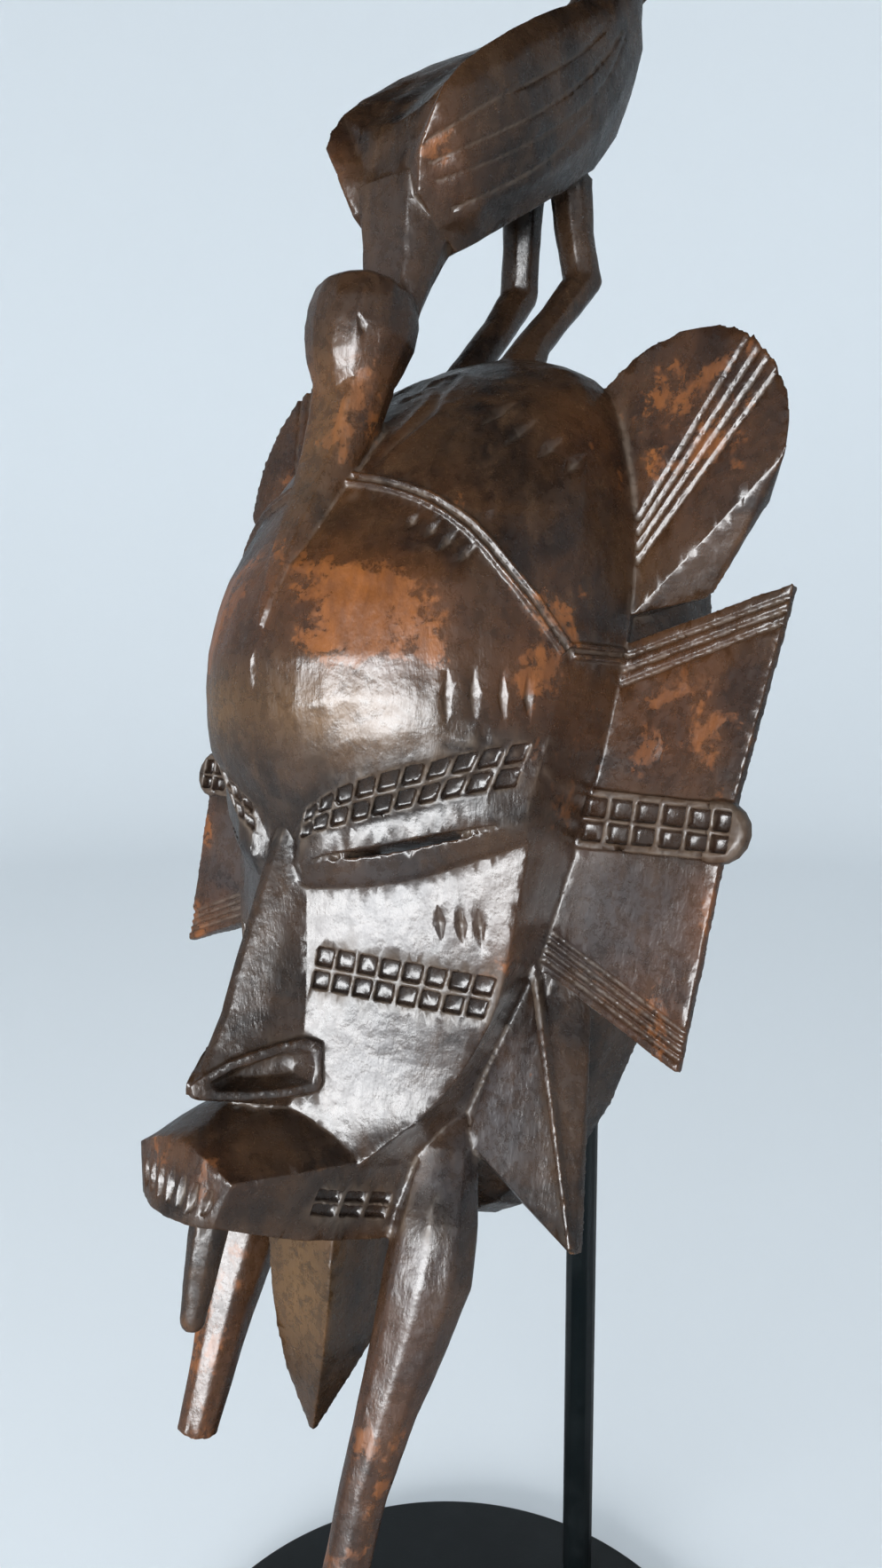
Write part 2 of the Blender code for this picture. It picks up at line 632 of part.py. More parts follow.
def tooth_cutters():
    """Upright grooves in the front of the muzzle."""
    cutters = []
    for x in span(-12, 12, TOOTH_GROOVES):
        share = x / 15
        y = -MUZZLE_FRONT - MUZZLE_BULGE * (1 - share * share)
        low = -99.8 + 1.0 * share * share
        high = -92.4 - 1.6 * share * share
        path = [
            (Vector((mix(x, x * 0.86, t), y, mix(high, low, t))),
            Vector((share * 0.4, -1, 0)).normalized()) for t in (0, 0.5, 1)
        ]
        cutters.append(groove_rings(path, 2.6, 1.5, 0.4, 0.6))
    return cutters


def line_between(surface, start, end, count=2):
    return [
        on_surface(surface, mix(start[0], end[0], t), mix(start[1], end[1], t)) for t in span(0, 1, count)
    ]


def edge_grooves(start, end, pitch, count):
    """Grooves beside one edge of the wing, each a pitch further in, at the root and at the tip."""
    cutters = []
    for i in range(1, count + 1):
        ends = [(x, z + step * i) for (x, z), step in zip((start, end), pitch)]
        cutters.append(
            groove_rings(line_between(flat_surface, *ends), WING_GROOVE_WIDTH, WING_GROOVE_DEPTH)
        )
    return cutters


def wing_grooves():
    inner_top, outer_top, _, outer_low, inner_low = WING_CORNERS
    start = (inner_top[0] + 5, mix(inner_top[1], outer_top[1], 0.1))
    cutters = edge_grooves(start, (outer_top[0] + 1, outer_top[1]), [-p for p in TOP_PITCH], TOP_GROOVES)
    return cutters + edge_grooves(inner_low, (outer_low[0] + 2, outer_low[1]), LOW_PITCH, LOW_GROOVES)


def slit_rings(side):
    """Narrow opening between the lids, right through the wall."""
    rings = []
    for share in span(*SLIT_SHARES, 8):
        point = slit_point(share)
        end = abs(2 * (share - SLIT_SHARES[0]) / (SLIT_SHARES[1] - SLIT_SHARES[0]) - 1)
        half = SLIT_OPENING / 2 * (1 - 0.55 * end ** 3)
        front, back = point.y - 6, point.y + 24
        ring = [
            (point.x, front, point.z - half), (point.x, back, point.z - half),
            (point.x, back, point.z + half), (point.x, front, point.z + half)
        ]
        rings.append([Vector((side * x, y, z)) for x, y, z in ring])
    return rings


def diadem_path():
    """Places along the two-line band that crosses the forehead, left half."""
    path = []
    for x in span(DIADEM[0][0], DIADEM[-1][0], 13):
        path.append(on_surface(dome_surface, x, smooth(DIADEM, x)))
    return path


def diadem_end_path():
    """The band's short end, round the side of the head to the wing's upper root."""
    path = []
    for i, turn in enumerate(DIADEM_END_TURNS):
        z = mix(*DIADEM_END_HEIGHTS, i / (len(DIADEM_END_TURNS) - 1))
        across, forward = math.sin(math.radians(turn)), math.cos(math.radians(turn))
        place = Vector((smooth(HEAD_WIDTH, z) * across, -smooth(FOREHEAD_DEPTH, z) * forward, z))
        path.append((place, Vector((across, -forward, 0))))
    return path


# Nose, muzzle and what hangs below

def nose_rings():
    rings = []
    for z, forward, half in NOSE:
        front, cheek = -forward, -smooth(CHEEK_MIDDLE, z) + 4
        half_ring = [
            Vector((NOSE_RIDGE_HALF, front, z)), Vector((half * 0.62, mix(front, cheek, 0.45), z)),
            Vector((half, cheek, z)), Vector((half, NOSE_BACK, z)),
        ]
        rings.append(half_ring + mirrored(reversed(half_ring)))
    return rings


def nostril_point(distance, height, inward=0.0):
    """A place on the nostril's outer face, or some millimetres inward of it."""
    run, back = NOSTRIL_FACE
    x, y = NOSTRIL_START
    return Vector((x + distance * run - inward * back, y + distance * back + inward * run, height))


def nostril():
    outer = [nostril_point(*place) for place in NOSTRIL_OUTLINE]
    return outer + [Vector(p) for p in NOSTRIL_ROOT]


def cavity():
    middle = Vector(CAVITY_MIDDLE)
    outer = [nostril_point(*place, -2.0) for place in CAVITY_OUTLINE]
    floor = [
        nostril_point(*mix(Vector(place), middle, CAVITY_NARROWS), CAVITY_DEPTH)
        for place in CAVITY_OUTLINE
    ]
    return outer + floor


def muzzle_rings():
    rings = []
    for forward in (-4, 12, 24, 33, 40, 46, 51, MUZZLE_FRONT):
        top, bottom = smooth(MUZZLE_TOP_HALF, forward), smooth(MUZZLE_BOTTOM_HALF, forward)
        crown, edge = smooth(MUZZLE_TOP_MIDDLE, forward), smooth(MUZZLE_TOP_EDGE, forward)
        under = smooth(MUZZLE_UNDERSIDE, forward)
        bulge = MUZZLE_BULGE if forward == MUZZLE_FRONT else 0.0
        ring = []
        for share in span(-1, 1, 9):
            swell = bulge * (1 - share * share)
            ring.append(Vector((top * share, -forward - swell, crown + (edge - crown) * abs(share) ** 1.7)))
        for share in span(1, -1, 9):
            swell = bulge * (1 - share * share)
            ring.append(Vector((bottom * share, -forward - swell, under - 1.2 * (1 - share * share))))
        rings.append(ring)
    return rings


def beard_rings():
    rings = []
    for z, half, forward, back in BEARD:
        rings.append(
            [Vector(p) for p in ((-half, -forward, z), (half, -forward, z), (half * 0.9, back, z),
            (-half * 0.9, back, z))]
        )
    return rings


# Wings, lobes and spikes

def wing_plates():
    """Upper and lower half of the plate, thick at the root and thin at the outer edge."""
    inner_top, outer_top, outer_mid, outer_low, inner_low = WING_CORNERS
    inner_mid = (44, outer_mid[1])
    plates = []
    for inner, outer in (
        ((inner_top, inner_mid), (outer_top, outer_mid)), ((inner_mid, inner_low), (outer_mid, outer_low))
    ):
        plate = [Vector((x, y, z)) for x, z in inner for y in (0, WING_THICKNESS_ROOT)]
        plate += [Vector((x, y, z)) for x, z in outer for y in (0, WING_THICKNESS_EDGE)]
        plates.append(plate)
    return plates


def wing_band():
    start, end = WING_BAND_X
    points = []
    for x, low, high in zip((start, end), WING_BAND_LOW, WING_BAND_HIGH):
        points += [Vector((x, 1.5, low - 0.6)), Vector((x, 1.5, high + 0.6))]
        points += [Vector((x, -WING_BAND_PROUD, low)), Vector((x, -WING_BAND_PROUD, high))]
    return points


def knob():
    centre_x, centre_z = KNOB_CENTRE
    points = []
    for i in range(11):
        angle = math.radians(-110 + 220 * i / 10)
        for y, share in ((-1.7, 0.82), (-0.8, 0.97), (1.4, 1.0), (WING_THICKNESS_EDGE + 0.6, 0.85)):
            reach = KNOB_RADIUS * share
            points.append(
                Vector((centre_x + reach * math.cos(angle), y, centre_z + reach * math.sin(angle)))
            )
    return points


def lobe_points(higher=0.0, wider=0.0):
    """Corners of a lobe: flat front, rounded top, and a lower side that falls back to its foot."""
    lift_from, lift_over = 84.0, 31.0
    outline = LOBE_OUTLINE
    if higher:
        outline = [(x + wider * x / 88, z + higher * max(0, z - lift_from) / lift_over) for x, z in outline]
    front = [Vector((x, 0, z)) for x, z in list(outline) + [LOBE_FOLD_END, LOBE_ROOT]]
    back = []
    for x, z in outline:
        out = Vector((x - 50, 0, z - 80)).normalized() * LOBE_BACK_INSET
        back.append(Vector((x - out.x, LOBE_THICKNESS, z - out.z)))
    back += [Vector((x, LOBE_THICKNESS, z)) for x, z in LOBE_FOOT]
    back.append(Vector((46, LOBE_THICKNESS, 46)))
    return front + back


def spike_bodies():
    tip, top = Vector(SPIKE_TIP), Vector(SPIKE_RIDGE_TOP)
    corners = [Vector(c) for c in SPIKE_CORNERS]
    body = [tip, tip + Vector((0, 4, 0)), top] + corners
    across = Vector((1, 0, 0)) * SPIKE_RIB_WIDTH / 2
    rise = Vector((0, -SPIKE_RIB_HEIGHT, 0))
    rib = []
    for place, width in ((mix(top, tip, -0.02), 0.9), (mix(top, tip, 0.975), 0.5)):
        rib += [place - across * width + rise, place + across * width + rise]
        rib += [
            place - across * width * 1.2 + Vector((0, 2, 0)),
            place + across * width * 1.2 + Vector((0, 2, 0))
        ]
    return [body, rib]


# Hornbill

def bird_point(along, x, height):
    """A place by its distance along the body's axis, sideways, and above it."""
    start, end = Vector(BIRD_START), Vector(BIRD_END)
    run = (end - start).normalized()
    return start + run * along + Vector((x, 0, 0)) + Vector((0, -run.z, run.y)) * height


def body_rings():
    rings = []
    for along, *half in BIRD_SECTIONS:
        right = [bird_point(along + sum(further), x, height) for x, height, *further in half]
        rings.append(right + mirrored(reversed(right[1:-1])))
    return rings


def tail_points():
    half_low, y_low, z_low = TAIL_FOOT
    half_high, y_high, z_high = TAIL_TOP
    points = []
    for side in (-1, 1):
        for thick in (0, TAIL_THICKNESS):
            points += [
                Vector((side * half_low * 0.6, y_low + thick, z_low - thick * 0.6)),
                Vector((side * half_high, y_high + thick * 0.7, z_high - thick * 0.7))
            ]
            points.append(
                Vector((side * half_high * 0.55, y_high + 3 + thick * 0.7, z_high + 4 - thick * 0.7))
            )
    return points


def eye_nick():
    """Slanted cut in the side of the bird's head."""
    a, b = (Vector(end) for end in EYE_NICK)
    out = Vector(EYE_FACING).normalized()
    across = (b - a).cross(out).normalized()
    middle = (a + b) / 2
    wide = [middle + across * 2.4 + out * 1.6, middle - across * 2.4 + out * 1.6]
    return [a + out * 0.6, b + out * 0.6, middle - out * 1.4] + wide


# Bringing the mask together

def material(name, colour, roughness, metallic):
    made = bpy.data.materials.new(name)
    made.use_nodes = True
    shader = made.node_tree.nodes["Principled BSDF"]
    shader.inputs["Base Color"].default_value = colour
    shader.inputs["Roughness"].default_value = roughness
    shader.inputs["Metallic"].default_value = metallic
    return made


def combine(base, name, tools, operation):
    """Joins a group of shapes to the base, or cuts them all from it, in one step."""
    group = bpy.data.collections.new(name)
    bpy.context.scene.collection.children.link(group)
    for tool in tools:
        tool.hide_render = True
        tool.display_type = "WIRE"
        tool.parent = base
        bpy.context.scene.collection.objects.unlink(tool)
        group.objects.link(tool)
    modifier = base.modifiers.new(name, "BOOLEAN")
    modifier.operation = operation
    modifier.operand_type = "COLLECTION"
    modifier.collection = group


def raised_shapes():
    left_leg = limb_rings(LEG, LEG_SIDES)
    right_leg = limb_rings(LEG, LEG_SIDES, side=-1, end=RIGHT_LEG_END)
    diadem = band_rings(diadem_path(), DIADEM_WIDTH, DIADEM_HEIGHT)
    diadem_end = band_rings(diadem_end_path(), DIADEM_WIDTH, DIADEM_HEIGHT)
    spike, rib = spike_bodies()
    return [
        lofts("bowl", [bowl_rings()]),
        hulls("upper_wings", both_sides(wing_plates()[0])),
        hulls("lower_wings", both_sides(wing_plates()[1])),
        hulls("wing_bands", both_sides(wing_band())),
        hulls("wing_knobs", both_sides(knob())),
        hulls("lobes", [lobe_points(), mirrored(lobe_points(RIGHT_LOBE_HIGHER, RIGHT_LOBE_WIDER))]),
        hulls("spikes", both_sides(spike)),
        hulls("spike_ribs", both_sides(rib)),
        lofts("muzzle", [muzzle_rings()], flat_caps=True),
        lofts("nose", [nose_rings()]),
        hulls("nostrils", both_sides(nostril())),
        lofts("legs", [left_leg, right_leg]),
        lofts("beard", [beard_rings()]),
        lofts("lip_peg", [limb_rings(PEG, 7)]),
        lofts("diadem", [diadem, [mirrored(ring) for ring in diadem]]),
        lofts("diadem_ends", [diadem_end, [mirrored(ring) for ring in diadem_end]]),
        lofts("bird_body", [body_rings()]),
        hulls("bird_tail", [tail_points()]),
        lofts("bird_neck", [section_rings(NECK)]),
        lofts("bird_head", [section_rings(BIRD_HEAD, 12, 0.88)]),
        lofts("bird_beak", [section_rings(BEAK)]),
        lofts("bird_legs", [limb_rings(BIRD_LEG, 8, side) for side in (-1, 1)]),
    ]


def cutting_shapes():
    cells = face_cells() + wing_cells() + jaw_cells()
    cells += [[mirrored(ring) for ring in rings] for rings in cells]
    marks = [body for points in face_marks() + [eye_nick()] for body in both_sides(points)]
    marks.append(nick(dome_surface, *FOREHEAD_MARK, MARK_WIDTH, MARK_DEPTH))
    grooves = wing_grooves()
    grooves.append(
        groove_rings([(p + n * DIADEM_HEIGHT, n) for p, n in diadem_path()], DIADEM_GROOVE, 1.5, 0, 0.6)
    )
    grooves += [[mirrored(ring) for ring in rings] for rings in grooves]
    grooves += [groove_rings(line_between(flat_surface, *ends), 1.7, 1.2) for ends in LOBE_GROOVES]
    for ends in RIGHT_LOBE_GROOVES:
        groove = groove_rings(line_between(flat_surface, *ends), 1.7, 1.2)
        grooves.append([mirrored(ring) for ring in groove])
    grooves += tooth_cutters()
    end_groove = groove_rings(
        [(p + n * DIADEM_HEIGHT, n) for p, n in diadem_end_path()], DIADEM_GROOVE, 1.5, 0, 0.6
    )
    return [
        lofts("hollow", [hollow_rings()]),
        lofts("eye_slits", [slit_rings(1), slit_rings(-1)]),
        hulls("nostril_cavities", both_sides(cavity())),
        lofts("sunk_cells", cells),
        hulls("cut_marks", marks),
        lofts("cut_grooves", grooves),
        lofts("end_grooves", [end_groove, [mirrored(ring) for ring in end_groove]]),
    ]


def carved_mask():
    mask = lofts("carved_mask", [[head_ring(row) for row in face_rows()]])
    combine(mask, "raised_shapes", raised_shapes(), "UNION")
    combine(mask, "cutting_shapes", cutting_shapes(), "DIFFERENCE")
    mask.rotation_euler.x = -math.radians(LEAN_BACK_DEG)
    mask.location = Vector((0, -KNOBS_BEFORE_CENTRE, KNOB_HEIGHT)) * MM
    mask.data.materials.append(material(*WOOD))
    return mask


# The stand

def stand_disc(metal):
    bpy.ops.mesh.primitive_cylinder_add(
        vertices=56, radius=DISC_RADIUS * MM, depth=DISC_THICKNESS * MM, location=(
            0, 0, DISC_THICKNESS * MM / 2
        )
    )
    disc = bpy.context.object
    disc.name = "stand_disc"
    bevel = disc.modifiers.new("rounded_edge", "BEVEL")
    bevel.width = DISC_BEVEL * MM
    bevel.segments = 1
    bevel.limit_method = "ANGLE"
    disc.data.materials.append(metal)


def rod_route():
    """Up the rod, round the bend and forward under the crown's inner roof, as (y, z)."""
    y = ROD_BEHIND_CENTRE
    route = [(y, DISC_THICKNESS + GAP)]
    for i in range(7):
        angle = math.radians(90 * i / 6)
        route.append(
            (y - ARM_BEND_RADIUS * (1 - math.cos(angle)),
            ARM_HEIGHT - ARM_BEND_RADIUS * (1 - math.sin(angle)))
        )
    route.append((y - ARM_REACH, ARM_HEIGHT))
    return route


def stand_rod(metal):
    curve = bpy.data.curves.new("stand_rod", "CURVE")
    curve.dimensions = "3D"
    curve.bevel_depth = ROD_DIAMETER / 2 * MM
    curve.bevel_resolution = 4
    curve.use_fill_caps = True
    route = rod_route()
    spline = curve.splines.new("POLY")
    spline.points.add(len(route) - 1)
    for point, (y, z) in zip(spline.points, route):
        point.co = (0, y * MM, z * MM, 1)
    rod = bpy.data.objects.new("stand_rod", curve)
    rod.data.materials.append(metal)
    bpy.context.scene.collection.objects.link(rod)


def main():
    for obj in list(bpy.data.objects):
        bpy.data.objects.remove(obj, do_unlink=True)
    carved_mask()
    metal = material(*BLACK_METAL)
    stand_disc(metal)
    stand_rod(metal)


main()
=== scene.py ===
"""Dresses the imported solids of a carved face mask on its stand.

The mask's solid is remeshed finely, its facets are rounded off while its crisp edges stay, and the carver's
finer cuts, the wear and the tool marks are added. Positions on the mask are in millimetres in the mask's
own frame, which leans back on the stand: x towards its left side, y back, z up, from the wing's knobs.
"""

import math

import bpy
import numpy as np
from mathutils import Matrix, Vector, noise
from mathutils.bvhtree import BVHTree
from mathutils.kdtree import KDTree


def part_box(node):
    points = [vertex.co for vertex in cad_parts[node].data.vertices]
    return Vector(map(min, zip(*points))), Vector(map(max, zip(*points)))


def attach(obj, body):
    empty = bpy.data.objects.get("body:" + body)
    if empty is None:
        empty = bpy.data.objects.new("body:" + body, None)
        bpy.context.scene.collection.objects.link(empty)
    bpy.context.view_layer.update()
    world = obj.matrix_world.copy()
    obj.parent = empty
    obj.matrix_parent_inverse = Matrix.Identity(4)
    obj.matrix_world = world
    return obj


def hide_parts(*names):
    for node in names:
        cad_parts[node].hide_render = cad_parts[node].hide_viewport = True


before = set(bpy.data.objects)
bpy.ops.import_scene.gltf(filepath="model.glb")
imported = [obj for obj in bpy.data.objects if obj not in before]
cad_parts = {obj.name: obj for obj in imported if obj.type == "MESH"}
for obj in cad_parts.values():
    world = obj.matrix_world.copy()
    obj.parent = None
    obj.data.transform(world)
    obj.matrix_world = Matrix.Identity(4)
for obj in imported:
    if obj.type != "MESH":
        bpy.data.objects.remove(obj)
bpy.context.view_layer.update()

bl_info = {
    "name": "Carved mask on a stand",
    "version": (1, 0, 0),
    "blender": (4, 5, 0),
    "location": "View3D > Sidebar > Mask",
    "description": "Builds the looks of a carved wooden face mask, its stand and its stage",
    "category": "Object",
}

MM = 0.001

# How the mask hangs: the lean, and where the middle between its knobs is, in millimetres
LEAN_BACK_DEG = 14.1
KNOBS_AT = (0.0, -11.0, 276.0)
MOST_TRIANGLES = 194000

# Edges that stay crisp: the least angle between their faces, the length of a step along them, the area in
# square metres under which a face is ignored, and how near them the surface is refined, in millimetres
CRISP_ANGLE, CRISP_ANGLE_LIMB = 30.0, 60.0
CRISP_STEP, SLIVER_AREA, REFINED_REACH = 0.5, 2e-9, 1.25

# Rounding: nothing moves within the first distance of a crisp edge and all moves past the second, and each
# pass draws places together and pushes them apart a little more, so that nothing shrinks
ROUNDING_STARTS, ROUNDING_FULL = 0.5, 2.6
DRAW_IN, PUSH_OUT, WEAR_DOWN = 0.62, -0.64, 0.3
ON_LINE_SHARE = 0.27


# Settings a user would change

class MaskSettings(bpy.types.PropertyGroup):
    """Fineness and finish of the carved mask."""
    fineness: bpy.props.FloatProperty(
        name="Fineness", description="Spacing of the remeshed surface", default=0.00066, min=0.0003,
        unit="LENGTH", subtype="DISTANCE", precision=5)
    rounding: bpy.props.IntProperty(
        name="Rounding", description="Passes that round off the solid's facets", default=44, min=0)
    softening: bpy.props.IntProperty(
        name="Softening", description="Passes that wear every edge down", default=1, min=0)
    tool_marks: bpy.props.FloatProperty(
        name="Tool marks", description="Depth of the knife's marks", default=0.00014, unit="LENGTH",
        subtype="DISTANCE", precision=5)
    near_black: bpy.props.FloatVectorProperty(
        name="Stain", description="Darkest stain", size=3, subtype="COLOR",
        default=(0.0080, 0.0052, 0.0040))
    brown: bpy.props.FloatVectorProperty(
        name="Brown", description="Stain rubbed thin", size=3, subtype="COLOR",
        default=(0.034, 0.0170, 0.0082))
    orange: bpy.props.FloatVectorProperty(
        name="Bare wood", description="Wood where the stain is gone", size=3, subtype="COLOR",
        default=(0.215, 0.068, 0.012))
    dust: bpy.props.FloatVectorProperty(
        name="Dust", description="Pale dust lying in the cuts", size=3, subtype="COLOR",
        default=(0.125, 0.092, 0.064))
    gloss: bpy.props.FloatProperty(
        name="Polish", description="Roughness of the rubbed surface", default=0.28, min=0.0, max=1.0)


class StandSettings(bpy.types.PropertyGroup):
    """Finish of the rod and the plate."""
    paint: bpy.props.FloatVectorProperty(
        name="Paint", description="Colour of the stand", size=3, subtype="COLOR",
        default=(0.0042, 0.0068, 0.0078))
    roughness: bpy.props.FloatProperty(
        name="Roughness", description="Roughness of the stand's paint", default=0.36, min=0.0, max=1.0)


class StageSettings(bpy.types.PropertyGroup):
    """Floor, light and camera."""
    backdrop: bpy.props.FloatVectorProperty(
        name="Backdrop", description="Colour of floor and backdrop", size=3, subtype="COLOR",
        default=(0.82, 0.86, 0.89))
    window_power: bpy.props.FloatProperty(
        name="Window", description="Power of the window light in watts", default=36.0, min=0.0)
    room_light: bpy.props.FloatProperty(
        name="Room", description="Strength of the even light from all round", default=0.66, min=0.0)


# Places on the mask

def lean():
    """Turns the mask's own frame into the object's."""
    return Matrix.Rotation(-math.radians(LEAN_BACK_DEG), 3, "X")


def to_mask(co):
    """Object positions in metres as positions on the mask in millimetres."""
    return (co / MM - np.array(KNOBS_AT)) @ np.array(lean())


def from_mask(at):
    """Positions on the mask in millimetres as object positions in metres."""
    return (at @ np.array(lean()).T + np.array(KNOBS_AT)) * MM


def ease(value, low, high):
    """0 below low, 1 above high, and smooth between."""
    t = np.clip((value - low) / (high - low), 0.0, 1.0)
    return t * t * (3 - 2 * t)


def blob(at, centre, radii):
    """1 at the centre and fading out over the radii, the same on both sides of the mask."""
    mirrored = np.column_stack([np.abs(at[:, 0]), at[:, 1], at[:, 2]])
    far = (mirrored - np.array(centre)) / np.array(radii)
    return np.exp(-(far * far).sum(axis=1))


def rough_noise(at, size, seed, stretch=(1, 1, 1), octaves=2):
    """Smooth random values between about -1 and 1, as large as the size in millimetres."""
    scale = np.array(stretch) / size
    places = at * scale + seed * 17.3
    return np.array([noise.fractal(p, 0.9, 2.1, octaves) for p in places.tolist()])


# Mesh in numbers

def read_points(mesh):
    co = np.empty(len(mesh.vertices) * 3, dtype=np.float32)
    mesh.vertices.foreach_get("co", co)
    return co.reshape(-1, 3).astype(float)


def write_points(mesh, co):
    mesh.vertices.foreach_set("co", co.astype(np.float32).ravel())
    mesh.update()


def read_normals(mesh):
    out = np.empty(len(mesh.vertices) * 3, dtype=np.float32)
    mesh.vertices.foreach_get("normal", out)
    return out.reshape(-1, 3).astype(float)


class Web:
    """The mesh's edges, for averaging over neighbours."""

    def __init__(self, mesh):
        edges = np.empty(len(mesh.edges) * 2, dtype=np.int32)
        mesh.edges.foreach_get("vertices", edges)
        self.a, self.b = edges[0::2].astype(np.int64), edges[1::2].astype(np.int64)
        self.count = len(mesh.vertices)
        self.degree = np.maximum(self.sum(np.ones(self.count)), 1)

    def sum(self, values):
        total = np.bincount(self.a, values[self.b], self.count)
        return total + np.bincount(self.b, values[self.a], self.count)

    def mean(self, values):
        if values.ndim == 1:
            return self.sum(values) / self.degree
        return np.column_stack([self.sum(column) / self.degree for column in values.T])

    def relax(self, values, strength, passes=1):
        for _ in range(passes):
            push = self.mean(values) - values
            values = values + push * (strength[:, None] if np.ndim(strength) else strength)
        return values


def select_only(obj):
    bpy.ops.object.select_all(action="DESELECT")
    obj.select_set(True)
    bpy.context.view_layer.objects.active = obj


def copy_of(node, name):
    """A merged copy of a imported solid."""
    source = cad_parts[node]
    piece = source.copy()
    piece.data = source.data.copy()
    piece.name = piece.data.name = name
    bpy.context.scene.collection.objects.link(piece)
    select_only(piece)
    bpy.ops.object.mode_set(mode="EDIT")
    bpy.ops.mesh.select_all(action="SELECT")
    bpy.ops.mesh.remove_doubles(threshold=0.000002)
    bpy.ops.object.mode_set(mode="OBJECT")
    piece.data.materials.clear()
    return piece


def apply_modifier(obj, kind, **settings):
    select_only(obj)
    modifier = obj.modifiers.new(kind.lower(), kind)
    for name, value in settings.items():
        setattr(modifier, name, value)
    bpy.ops.object.modifier_apply(modifier=modifier.name)


def on_limb(x, y, z):
    """Whether a place is on a round limb: the bird's legs, head or neck, or what hangs below the chin."""
    below_chin = z < -97
    bird_leg = 107 < z < 172 and abs(x) < 19 and y > -8
    bird_head = 68 < z < 140 and abs(x) < 20 and y < -44
    return below_chin or bird_leg or bird_head


def on_lobe_rim(x, z, faces):
    """Whether an edge belongs to the worn, rounded rim of a lobe."""
    facing = [abs((lean().transposed() @ face.normal).y) for face in faces]
    return abs(x) > 46 and z > 62 and min(facing) < 0.3


def crisp_lines(mesh):
    """Short steps along the edges that stay crisp, in millimetres on the mask."""
    at = to_mask(read_points(mesh))
    faces_of = {}
    for face in mesh.polygons:
        for key in face.edge_keys:
            faces_of.setdefault(key, []).append(face.index)
    steps = []
    for (a, b), faces in faces_of.items():
        if len(faces) != 2:
            continue
        one, two = (mesh.polygons[i] for i in faces)
        if min(one.area, two.area) < SLIVER_AREA:
            continue
        turn = math.degrees(one.normal.angle(two.normal, 0.0))
        middle = (at[a] + at[b]) / 2
        if turn < (CRISP_ANGLE_LIMB if on_limb(*middle) else CRISP_ANGLE):
            continue
        if on_lobe_rim(middle[0], middle[2], (one, two)):
            continue
        count = max(1, round(np.linalg.norm(at[a] - at[b]) / CRISP_STEP))
        stops = [at[a] + (at[b] - at[a]) * i / count for i in range(count + 1)]
        steps += list(zip(stops[:-1], stops[1:]))
    return np.array(steps)


def nearest_on_lines(steps, at):
    """For each place, the nearest place on the crisp lines and how far it is."""
    tree = KDTree(len(steps))
    for i, middle in enumerate(steps.mean(axis=1).tolist()):
        tree.insert(middle, i)
    tree.balance()
    found = np.array([tree.find(place)[1] for place in at.tolist()])
    start, along = steps[found, 0], steps[found, 1] - steps[found, 0]
    share = np.clip(((at - start) * along).sum(axis=1) / (along * along).sum(axis=1), 0, 1)
    nearest = start + share[:, None] * along
    return nearest, np.linalg.norm(nearest - at, axis=1)


def set_on_solid(at, mesh):
    """Moves the places onto the solid's own faces."""
    faces = [tuple(face.vertices) for face in mesh.polygons]
    tree = BVHTree.FromPolygons(to_mask(read_points(mesh)).tolist(), faces)
    return np.array([tuple(tree.find_nearest(place)[0]) for place in at.tolist()])


def refine_near(piece, steps, reach):
    """Splits the even squares near the crisp lines into four."""
    mesh = piece.data
    near = nearest_on_lines(steps, to_mask(read_points(mesh)))[1] < reach
    corners = np.empty(len(mesh.loops), dtype=np.int32)
    mesh.loops.foreach_get("vertex_index", corners)
    picked = near[corners.reshape(-1, 4)].all(axis=1)
    mesh.vertices.foreach_set("select", np.zeros(len(mesh.vertices), dtype=bool))
    mesh.edges.foreach_set("select", np.zeros(len(mesh.edges), dtype=bool))
    mesh.polygons.foreach_set("select", picked)
    select_only(piece)
    bpy.ops.object.mode_set(mode="EDIT")
    bpy.ops.mesh.select_mode(type="FACE")
    bpy.ops.mesh.subdivide(number_cuts=1)
    bpy.ops.object.mode_set(mode="OBJECT")


# The dome of the forehead and crown: the place its shape is measured from, its lowest height, its farthest
# reach and least forward share, the curve's degree, and how far it may be evened out
DOME_MIDDLE, DOME_LOW, DOME_REACH, DOME_FORWARD = (0, 6, 42), -4.0, 80, 0.12
DOME_DEGREE, DOME_SLACK, DOME_SLACKS = 8, 1.1, (3.0, 1.2, 1.1)
EVERY_FIFTH = 5


def even_dome(at, free):
    """Turns the flat facets of the forehead and crown into one even curve, but not what stands on it."""
    from_middle = at - np.array(DOME_MIDDLE)
    reach = np.linalg.norm(from_middle, axis=1)
    facing = from_middle / reach[:, None]
    on_dome = (facing[:, 1] < -DOME_FORWARD) & (at[:, 2] > DOME_LOW) & (reach < DOME_REACH) & (free > 0)
    inside = np.flatnonzero(on_dome)
    sideways, upwards, reach = np.abs(facing[inside, 0]), facing[inside, 2], reach[inside]
    powers = [(i, k) for i in range(DOME_DEGREE + 1) for k in range(DOME_DEGREE + 1 - i)]
    terms = np.column_stack([sideways ** i * upwards ** k for i, k in powers])
    weights = np.linalg.lstsq(terms[::EVERY_FIFTH], reach[::EVERY_FIFTH], rcond=None)[0]
    for slack in DOME_SLACKS:
        near = np.abs(reach - terms @ weights) < slack
        weights = np.linalg.lstsq(terms[near][::EVERY_FIFTH], reach[near][::EVERY_FIFTH], rcond=None)[0]
    change = terms @ weights - reach
    share = free[inside] * (1 - ease(np.abs(change), DOME_SLACK * 0.6, DOME_SLACK))
    at[inside] += facing[inside] * (change * share)[:, None]
    return at


